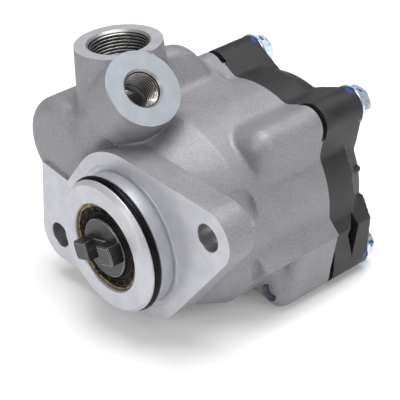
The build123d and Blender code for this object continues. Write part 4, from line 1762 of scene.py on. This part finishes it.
@dataclass
class CoverBolt:
    """A flanged hexagon bolt: one closed surface from the threaded tip to the dished top."""

    number: int
    centre: tuple[float, float]
    twist: float
    flats: float = 13.0
    washer_radius: float = 9.0
    head_end: float = HEAD_END
    seat: float = COVER_END - 0.19
    tip_end: float = 49.2
    thread_end: float = 60.0
    thread_radius: float = 4.0
    thread_depth: float = 0.62
    pitch: float = 1.25
    shank_radius: float = 3.9
    pole: float = 0.02
    steps: int = 144

    def tip_rows(self, turn: Array) -> list[tuple[float, Array]]:
        """Stations and radii of the threaded tip, whose thread is a helix of V grooves.

        Args:
            turn: the angles round the bolt.

        Returns:
            Each row's station and its radius at each angle.
        """
        dimple, tip = np.full(self.steps, self.pole), np.full(self.steps, 2.6)
        rows = [(self.tip_end + 0.4, dimple), (self.tip_end, tip)]
        for station in np.linspace(self.tip_end, self.thread_end, 90):
            share = (station / self.pitch - turn / (2 * math.pi)) % 1.0
            groove = np.clip(1.3 - np.abs(share - 0.5) * 3.0, 0.0, 1.0) * self.thread_depth
            point = max(0.0, 1.0 - (station - self.tip_end) / 0.9) * 0.75
            rows.append((station, np.minimum(self.thread_radius - groove, self.thread_radius - point)))
        return rows

    def head_rows(self, turn: Array) -> list[tuple[float, Array]]:
        """Stations and radii of shank, washer, hexagon and dished top.

        The hexagon's radius is half the flats divided by the cosine of the angle from the nearest flat, cut
        down by the chamfer's cone.

        Args:
            turn: the angles round the bolt.

        Returns:
            Each row's station and its radius at each angle.
        """
        sixth = math.pi / 3
        hexagon = self.flats / 2 / np.cos((turn + math.radians(self.twist)) % sixth - sixth / 2)
        everywhere = np.full(self.steps, np.inf)
        seat, end = self.seat, self.head_end
        shank_and_washer = (
            (self.thread_end + 0.2, self.shank_radius), (seat, self.shank_radius), (seat, 8.7),
            (seat + 0.25, self.washer_radius), (seat + 0.9, self.washer_radius),
            (seat + 1.35, 8.5), (seat + 1.75, 7.6),
        )
        cones = (
            (seat + 1.8, 7.45), (seat + 2.1, 8.0), (end - 1.5, 8.0), (end - 1.1, 7.5), (end - 0.55, 6.9),
            (end - 0.15, 6.35), (end, 6.0),
        )
        dish = ((end, 5.0), (end - 0.5, 4.3), (end - 0.6, self.pole))
        rows = []
        for limit, steps in ((everywhere, shank_and_washer), (hexagon, cones), (everywhere, dish)):
            rows += [(station, np.minimum(limit, radius)) for station, radius in steps]
        return rows

    def build(self, material: bpy.types.Material) -> bpy.types.Object:
        """Makes the bolt.

        Args:
            material: the bolt's finish.

        Returns:
            The bolt.
        """
        turn = np.linspace(0.0, 2 * math.pi, self.steps, endpoint=False)
        rows = self.tip_rows(turn) + self.head_rows(turn)
        radii = np.array([radius for _, radius in rows])
        stations = np.array([station for station, _ in rows])
        points = turned_points(radii, stations, self.steps) + (self.centre[0], 0.0, self.centre[1])
        quads = wrapped_quads(len(rows), self.steps)
        bolt = new_piece(f"cover_bolt_{self.number}", points, quads, 26.0, [material])
        close_ends(bolt, 26.0)
        turn_outwards(bolt)
        even_normals(bolt)
        return bolt


def close_ends(piece: bpy.types.Object, smooth_angle: float) -> None:
    """Fills the open loops at a turned piece's two ends.

    Args:
        piece: the turned piece.
        smooth_angle: edges sharper than this many degrees stay hard when it is shaded again.
    """
    work = bmesh.new()
    work.from_mesh(piece.data)
    bmesh.ops.holes_fill(work, edges=[edge for edge in work.edges if edge.is_boundary], sides=0)
    bmesh.ops.recalc_face_normals(work, faces=work.faces)
    work.to_mesh(piece.data)
    work.free()
    soften(piece.data, smooth_angle)


@dataclass
class DriveEnd:
    """What shows at the pilot: its O-ring, the seal with its case, and the bar between the shaft's lugs."""

    finishes: Finishes
    front: float = -11.6
    bore: float = 20.0
    ring_middle: tuple[float, float] = (29.1, -8.25)
    ring_section: float = 1.75
    mould_line: float = 0.03
    bar_reach: float = 12.6
    bar_half_width: float = 4.25
    bar_front: float = -14.1
    bar_rear: float = -12.4

    def o_ring(self) -> bpy.types.Object:
        """The pilot's O-ring: a round section turned about the shaft, with its moulding line.

        Returns:
            The ring.
        """
        turn = np.linspace(0.0, 2 * math.pi, 40, endpoint=False)
        section = self.ring_section + self.mould_line * np.exp(-(np.sin(turn) / 0.08) ** 2)
        radius, station = self.ring_middle
        profile = np.column_stack([radius + section * np.cos(turn), station + section * np.sin(turn)])
        ring = turned_piece("pilot_seal_ring", profile, 256, 80.0)
        ring.data.materials.append(self.finishes.get(Finish.BLACK_RUBBER))
        return ring

    def seal_case(self) -> bpy.types.Object:
        """The seal's case: a rolled ring whose inner edge wavers where lacquer has gathered.

        The waver is a sum of three sines of the angle, added to the radius of the inner edge's points.

        Returns:
            The case.
        """
        steps = 240
        turn = np.linspace(0.0, 2 * math.pi, steps, endpoint=False)
        waver = 0.18 * np.sin(5 * turn + 0.6) + 0.12 * np.sin(11 * turn) + 0.07 * np.sin(23 * turn + 1.0)
        profile = np.array([
            (18.55, 0.55), (18.75, 0.12), (19.3, -0.05), (19.75, 0.02), (self.bore, 0.3), (self.bore, 6.6),
            (19.1, 6.6), (19.1, 1.2), (18.6, 1.0),
        ])
        radii = profile[:, :1] + np.zeros(steps)
        radii[[0, 1, -1]] += waver
        return self.moulded("seal_case_ring", radii, profile[:, 1] + self.front, 40.0, Finish.SEAL_METAL)

    def seal_lip(self) -> bpy.types.Object:
        """The seal's rubber: a dished face with moulded ribs, a dust lip and the oil lip behind it.

        Ribs rise from the dished face where a cosine of eighteen times the angle peaks.

        Returns:
            The rubber.
        """
        steps = 288
        turn = np.linspace(0.0, 2 * math.pi, steps, endpoint=False)
        rib = np.clip(np.cos(18 * turn) * 2.4 - 0.7, 0.0, 1.0)
        profile = np.array([
            (18.9, 0.9), (18.5, 0.75), (17.9, 0.8), (17.5, 1.5), (17.0, 1.75), (16.4, 1.55), (16.1, 0.85),
            (15.7, 0.6), (15.3, 0.95), (15.1, 1.3), (14.6, 1.1), (14.2, 0.35), (13.9, 0.1), (13.62, 0.25),
            (13.56, 0.6), (14.1, 1.9), (14.15, 3.0), (13.56, 4.7), (14.1, 5.5), (14.8, 5.5), (15.1, 4.5),
            (14.8, 3.9), (15.1, 2.5), (17.9, 2.5), (17.9, 6.1), (18.95, 6.1),
        ])
        radii, stations = (profile[:, column, None] + np.zeros(steps) for column in (0, 1))
        stations[3:6] -= 0.55 * rib
        return self.moulded("seal_rubber_lip", radii, stations + self.front, 38.0, Finish.SEAL_RUBBER)

    def moulded(self, name: str, radii: Array, stations: Array, smooth_angle: float,
                finish: Finish) -> bpy.types.Object:
        """A closed ring whose section changes with the angle.

        Args:
            name: the piece's name.
            radii: radius of each profile point at each angle.
            stations: station of each profile point, or of each at each angle.
            smooth_angle: edges sharper than this many degrees stay hard.
            finish: its finish.

        Returns:
            The ring.
        """
        points = turned_points(radii, stations, radii.shape[1])
        ring = new_piece(name, points, wrapped_quads(*radii.shape, close_rows=True), smooth_angle,
                         [self.finishes.get(finish)])
        turn_outwards(ring)
        return ring

    def tang_floor(self) -> bpy.types.Object:
        """The low bar that joins the two lugs across the shaft's end.

        Returns:
            The bar.
        """
        reach, half = self.bar_reach, self.bar_half_width
        turn = math.radians(TANG_ANGLE)
        cos, sin = math.cos(turn), math.sin(turn)
        flat = ((-reach, -half), (reach, -half), (reach, half), (-reach, half))
        points = np.array([
            (along * cos - across * sin, y, along * sin + across * cos)
            for y in (self.bar_front, self.bar_rear) for along, across in flat
        ])
        faces = [(0, 1, 2, 3), (7, 6, 5, 4), (0, 4, 5, 1), (1, 5, 6, 2), (2, 6, 7, 3), (3, 7, 4, 0)]
        # the bar's bevels get the bright painted edge highlight
        materials = [self.finishes.get(Finish.SHAFT_STEEL), self.finishes.get(Finish.EDGE_HIGHLIGHT)]
        bar = new_piece("tang_floor", points, faces, 30.0, materials)
        turn_outwards(bar)
        soften_edges(bar, 0.3)
        return bar


def soften_edges(piece: bpy.types.Object, width: float) -> None:
    """Bevels a piece's sharp edges and gives the bevels its second material, the bright painted edge
    highlight.

    Args:
        piece: the piece.
        width: the bevels' width in millimetres.
    """
    edge = piece.modifiers.new("edge", "BEVEL")
    edge.width = width * MILLIMETRE
    edge.segments = 2
    edge.material = 1
    edge.limit_method = "ANGLE"
    edge.angle_limit = math.radians(40.0)
    edge.harden_normals = True


def merged_copy(name: str, node: str, frame: dict, flat_angle: float = 0.0) -> bpy.types.Object:
    """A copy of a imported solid, whose loose triangles are merged.

    Args:
        name: the piece's name.
        node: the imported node.
        flat_angle: faces that meet flatter than this many degrees become one.

    Returns:
        The copy.
    """
    mesh = frame["nodes"][node].data.copy()
    mesh.name = name
    work = bmesh.new()
    work.from_mesh(mesh)
    bmesh.ops.remove_doubles(work, verts=work.verts, dist=2e-6)
    if flat_angle:
        limit = math.radians(flat_angle)
        bmesh.ops.dissolve_limit(work, angle_limit=limit, verts=work.verts, edges=work.edges)
    work.to_mesh(mesh)
    work.free()
    piece = bpy.data.objects.new(name, mesh)
    bpy.context.scene.collection.objects.link(piece)
    soften(mesh, 30.0)
    return piece


def turned_shaft(frame: dict, finishes: Finishes) -> bpy.types.Object:
    """The drive shaft with its edges softened, the bevels given a bright painted highlight.

    Args:
        finishes: the pump's materials.

    Returns:
        The shaft.
    """
    shaft = merged_copy("drive_shaft_turned", "drive_shaft", frame, 0.6)
    shaft.data.materials.clear()
    # the second material is a painted highlight on the bevelled edges
    for finish in (Finish.SHAFT_STEEL, Finish.EDGE_HIGHLIGHT):
        shaft.data.materials.append(finishes.get(finish))
    soften_edges(shaft, 0.35)
    return shaft


@dataclass(frozen=True)
class WorkingSpring:
    """A packed spring pressed by a slide, shown as a merged copy of its solid that is not squashed."""

    node: str
    joint: str

    def build(self, frame: dict) -> bpy.types.Object:
        """Makes the copy that is shown, a merged copy of the spring's solid; the slide's axis is read, but
        the copy is not squashed.

        Returns:
            The spring.
        """
        coil = merged_copy(f"{self.node}_coil", self.node, frame)
        row = next(row for row in frame["joints"] if row["name"] == self.joint)
        axis = np.array(row["axis"], float)
        axis /= np.linalg.norm(axis)
        spots = np.empty(len(coil.data.vertices) * 3)
        coil.data.vertices.foreach_get("co", spots)
        spots = spots.reshape(-1, 3)
        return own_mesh(coil)


@dataclass
class Studio:
    """Pale floor, soft light and the camera at the photograph's angle."""

    floor_height: float
    floor_half: float = 6.0
    floor_glow: float = 0.13
    surround: float = 0.28
    lamps_aim: tuple[float, float, float] = (0.0, 0.04, 0.01)
    camera_spot: tuple[float, float, float] = (426.009, -297.91, 302.19)
    camera_turn: tuple[float, float, float] = (60.8766, 4.6628, 48.9246)
    focal_length: float = 126.907
    sensor: float = 36.0

    def camera(self) -> None:
        """Creates the camera and makes it the scene's."""
        data = bpy.data.cameras.new("view")
        data.lens = self.focal_length
        data.sensor_width = self.sensor
        data.sensor_fit = "HORIZONTAL"
        data.clip_start = 0.01
        camera = bpy.data.objects.new("view", data)
        camera.location = [value * MILLIMETRE for value in self.camera_spot]
        camera.rotation_euler = [math.radians(value) for value in self.camera_turn]
        bpy.context.scene.collection.objects.link(camera)
        bpy.context.scene.camera = camera

    def floor(self) -> None:
        """A wide pale floor that keeps the shadow and shows as white round the pump."""
        half = self.floor_half
        mesh = bpy.data.meshes.new("floor")
        square = ((-half, -half), (half, -half), (half, half), (-half, half))
        corners = [(x, y, self.floor_height) for x, y in square]
        mesh.from_pydata(corners, [], [(0, 1, 2, 3)])
        floor = bpy.data.objects.new("floor", mesh)
        bpy.context.scene.collection.objects.link(floor)
        shader = Shader("floor_paper")
        cloud = shader.noise(300.0, 2.0, 0.5)
        shader.set(Base_Color=shader.blend(cloud, (0.93, 0.93, 0.93), (0.95, 0.95, 0.95)), Roughness=0.9)
        path = shader.node("ShaderNodeLightPath")
        shader.set(Emission_Color=(1.0, 1.0, 1.0))
        seen = shader.maths("MAXIMUM", path.outputs["Is Camera Ray"], path.outputs["Is Glossy Ray"])
        shader.set(Emission_Strength=shader.maths("MULTIPLY", seen, self.floor_glow))
        mesh.materials.append(shader.material)
        floor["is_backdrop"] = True

    def lamp(self, name: str, spot: tuple[float, float, float], size: float, power: float) -> None:
        """Adds a square area lamp aimed at the pump's middle.

        Args:
            name: the lamp's name.
            spot: its place in metres.
            size: its side in metres.
            power: its power in watts.
        """
        data = bpy.data.lights.new(name, "AREA")
        data.size = size
        data.energy = power
        lamp = bpy.data.objects.new(name, data)
        aim = np.array(self.lamps_aim) - np.array(spot)
        away = math.atan2(aim[0], -aim[1])
        tilt = math.acos(-aim[2] / float(np.linalg.norm(aim)))
        lamp.location = spot
        lamp.rotation_euler = (tilt, 0.0, away + math.pi)
        bpy.context.scene.collection.objects.link(lamp)

    def light(self) -> None:
        """Soft light from above and the right, with an even white surround."""
        world = bpy.data.worlds.new("surround")
        bpy.context.scene.world = world
        world.use_nodes = True
        tree = world.node_tree
        path = tree.nodes.new("ShaderNodeLightPath")
        seen = tree.nodes.new("ShaderNodeMath")
        seen.operation = "MAXIMUM"
        tree.links.new(path.outputs["Is Camera Ray"], seen.inputs[0])
        tree.links.new(path.outputs["Is Transmission Ray"], seen.inputs[1])
        strength = tree.nodes.new("ShaderNodeMapRange")
        strength.inputs["To Min"].default_value = self.surround
        strength.inputs["To Max"].default_value = 1.0
        tree.links.new(seen.outputs[0], strength.inputs["Value"])
        ground = tree.nodes["Background"]
        ground.inputs["Color"].default_value = (1.0, 1.0, 1.0, 1.0)
        tree.links.new(strength.outputs[0], ground.inputs["Strength"])
        self.lamp("top_lamp", (0.10, 0.14, 1.15), 0.90, 14.6)
        self.lamp("right_lamp", (1.0, 0.1, 0.55), 0.6, 2.2)
        self.lamp("front_lamp", (0.1, -1.1, 0.5), 0.6, 4.6)

    def build(self) -> None:
        """Sets the stage and the plain view transform."""
        bpy.context.scene.view_settings.view_transform = "Standard"
        self.camera()
        self.floor()
        self.light()


PAINT_DABS = (
    PaintDab((-22.8, 98.6, 51.0), (2.2, 1.7, 1.3), BLUE_PAINT),
    PaintDab((-22.0, 104.2, 50.3), (3.0, 0.9, 1.0), BLUE_PAINT),
    PaintDab((37.6, 98.4, 43.7), (2.3, 1.7, 1.3), BLUE_PAINT),
    PaintDab((38.4, 104.2, 42.4), (2.6, 0.9, 1.0), BLUE_PAINT),
    PaintDab((42.4, 98.2, 31.2), (0.9, 2.8, 1.0), GREEN_PAINT),
    PaintDab((43.9, 98.6, -36.6), (1.3, 1.4, 1.9), BLUE_PAINT),
    PaintDab((42.4, 104.6, -34.0), (1.0, 0.9, 2.2), BLUE_PAINT),
    PaintDab((42.4, 103.2, -32.8), (0.9, 0.6, 1.8), GREEN_PAINT),
)


def dress_nodes(frame: dict, finishes: Finishes) -> None:
    """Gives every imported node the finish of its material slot.

    Args:
        finishes: the pump's materials.
    """
    for part in frame["record"]["subparts"]:
        node = frame["nodes"][part["node"]]
        material = finishes.get(Finish(part["material_slot"]))
        node.data.materials.clear()
        node.data.materials.append(material)


@dataclass(frozen=True)
class Placed:
    """A finished piece: the body it moves with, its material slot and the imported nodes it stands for."""

    piece: bpy.types.Object
    body: str
    slot: str
    nodes: tuple[str, ...] = ()

    def declare(self) -> None:
        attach(self.piece, self.body)
        if self.nodes:
            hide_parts(*self.nodes)
        LOG.info("%s: %d faces on %s", self.piece.name, len(self.piece.data.polygons), self.body)


def castings_and_bolts(finishes: Finishes) -> list[Placed]:
    """Builds the housing with its ports' threads, the cover and its bolts.

    Args:
        finishes: the pump's materials.

    Returns:
        The pieces.
    """
    placed = [
        Placed(Housing(finishes).build(), "pump_body", "cast_aluminium", ("housing",)),
        Placed(RearCover(finishes).build(), "pump_body", "dark_cover", ("rear_cover",)),
    ]
    for thread, finish in (
        (ThreadedBore("suction_thread", SUCTION_PORT, 12.19, 13.02, 0.95, 13.0), Finish.SUCTION_THREAD),
        (ThreadedBore("pressure_thread", PRESSURE_PORT, 7.19, 8.02, 0.95, 14.0), Finish.PRESSURE_THREAD),
    ):
        placed.append(Placed(thread.build(finishes.get(finish)), "pump_body", "cast_aluminium"))
    first_twist, next_twist = 11.0, 17.0
    for number, angle in enumerate(BOLT_ANGLES):
        bolt = CoverBolt(number + 1, on_circle(BOLT_CIRCLE, angle), first_twist + next_twist * number)
        placed.append(Placed(bolt.build(finishes.get(Finish.ZINC)), "pump_body", "zinc", ("cover_bolts",)))
    return placed


def drive_and_valve(frame: dict, finishes: Finishes) -> list[Placed]:
    """Builds what shows at the drive end, and the valve's two springs.

    Args:
        finishes: the pump's materials.

    Returns:
        The pieces.
    """
    drive = DriveEnd(finishes)
    valve_spring = WorkingSpring("valve_spring", "spool_slide")
    relief_spring = WorkingSpring("relief_spring", "relief_lift")
    return [
        Placed(drive.o_ring(), "pump_body", "black_rubber", ("pilot_o_ring",)),
        Placed(drive.seal_case(), "pump_body", "seal_metal", ("seal_case",)),
        Placed(drive.seal_lip(), "pump_body", "seal_rubber", ("seal_lip",)),
        Placed(turned_shaft(frame, finishes), "rotating_group", "shaft_steel", ("drive_shaft",)),
        Placed(drive.tang_floor(), "rotating_group", "shaft_steel"),
        Placed(valve_spring.build(frame), "pump_body", "spring_steel", (valve_spring.node,)),
        Placed(relief_spring.build(frame), "spool_body", "spring_steel", (relief_spring.node,)),
    ]


def main() -> None:
    """Loads the frame, builds each sub-assembly and sets the stage."""
    logging.basicConfig(level=logging.INFO, format="%(message)s")
    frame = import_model()
    cad_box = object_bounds()
    finishes = pump_finishes(PRESSURE_PORT, SUCTION_PORT, MarkingPaint(PAINT_DABS))
    dress_nodes(frame, finishes)
    Studio(float(cad_box[0][2])).build()
    for placed in castings_and_bolts(finishes) + drive_and_valve(frame, finishes):
        placed.declare()


if __name__ == "__main__":
    main()
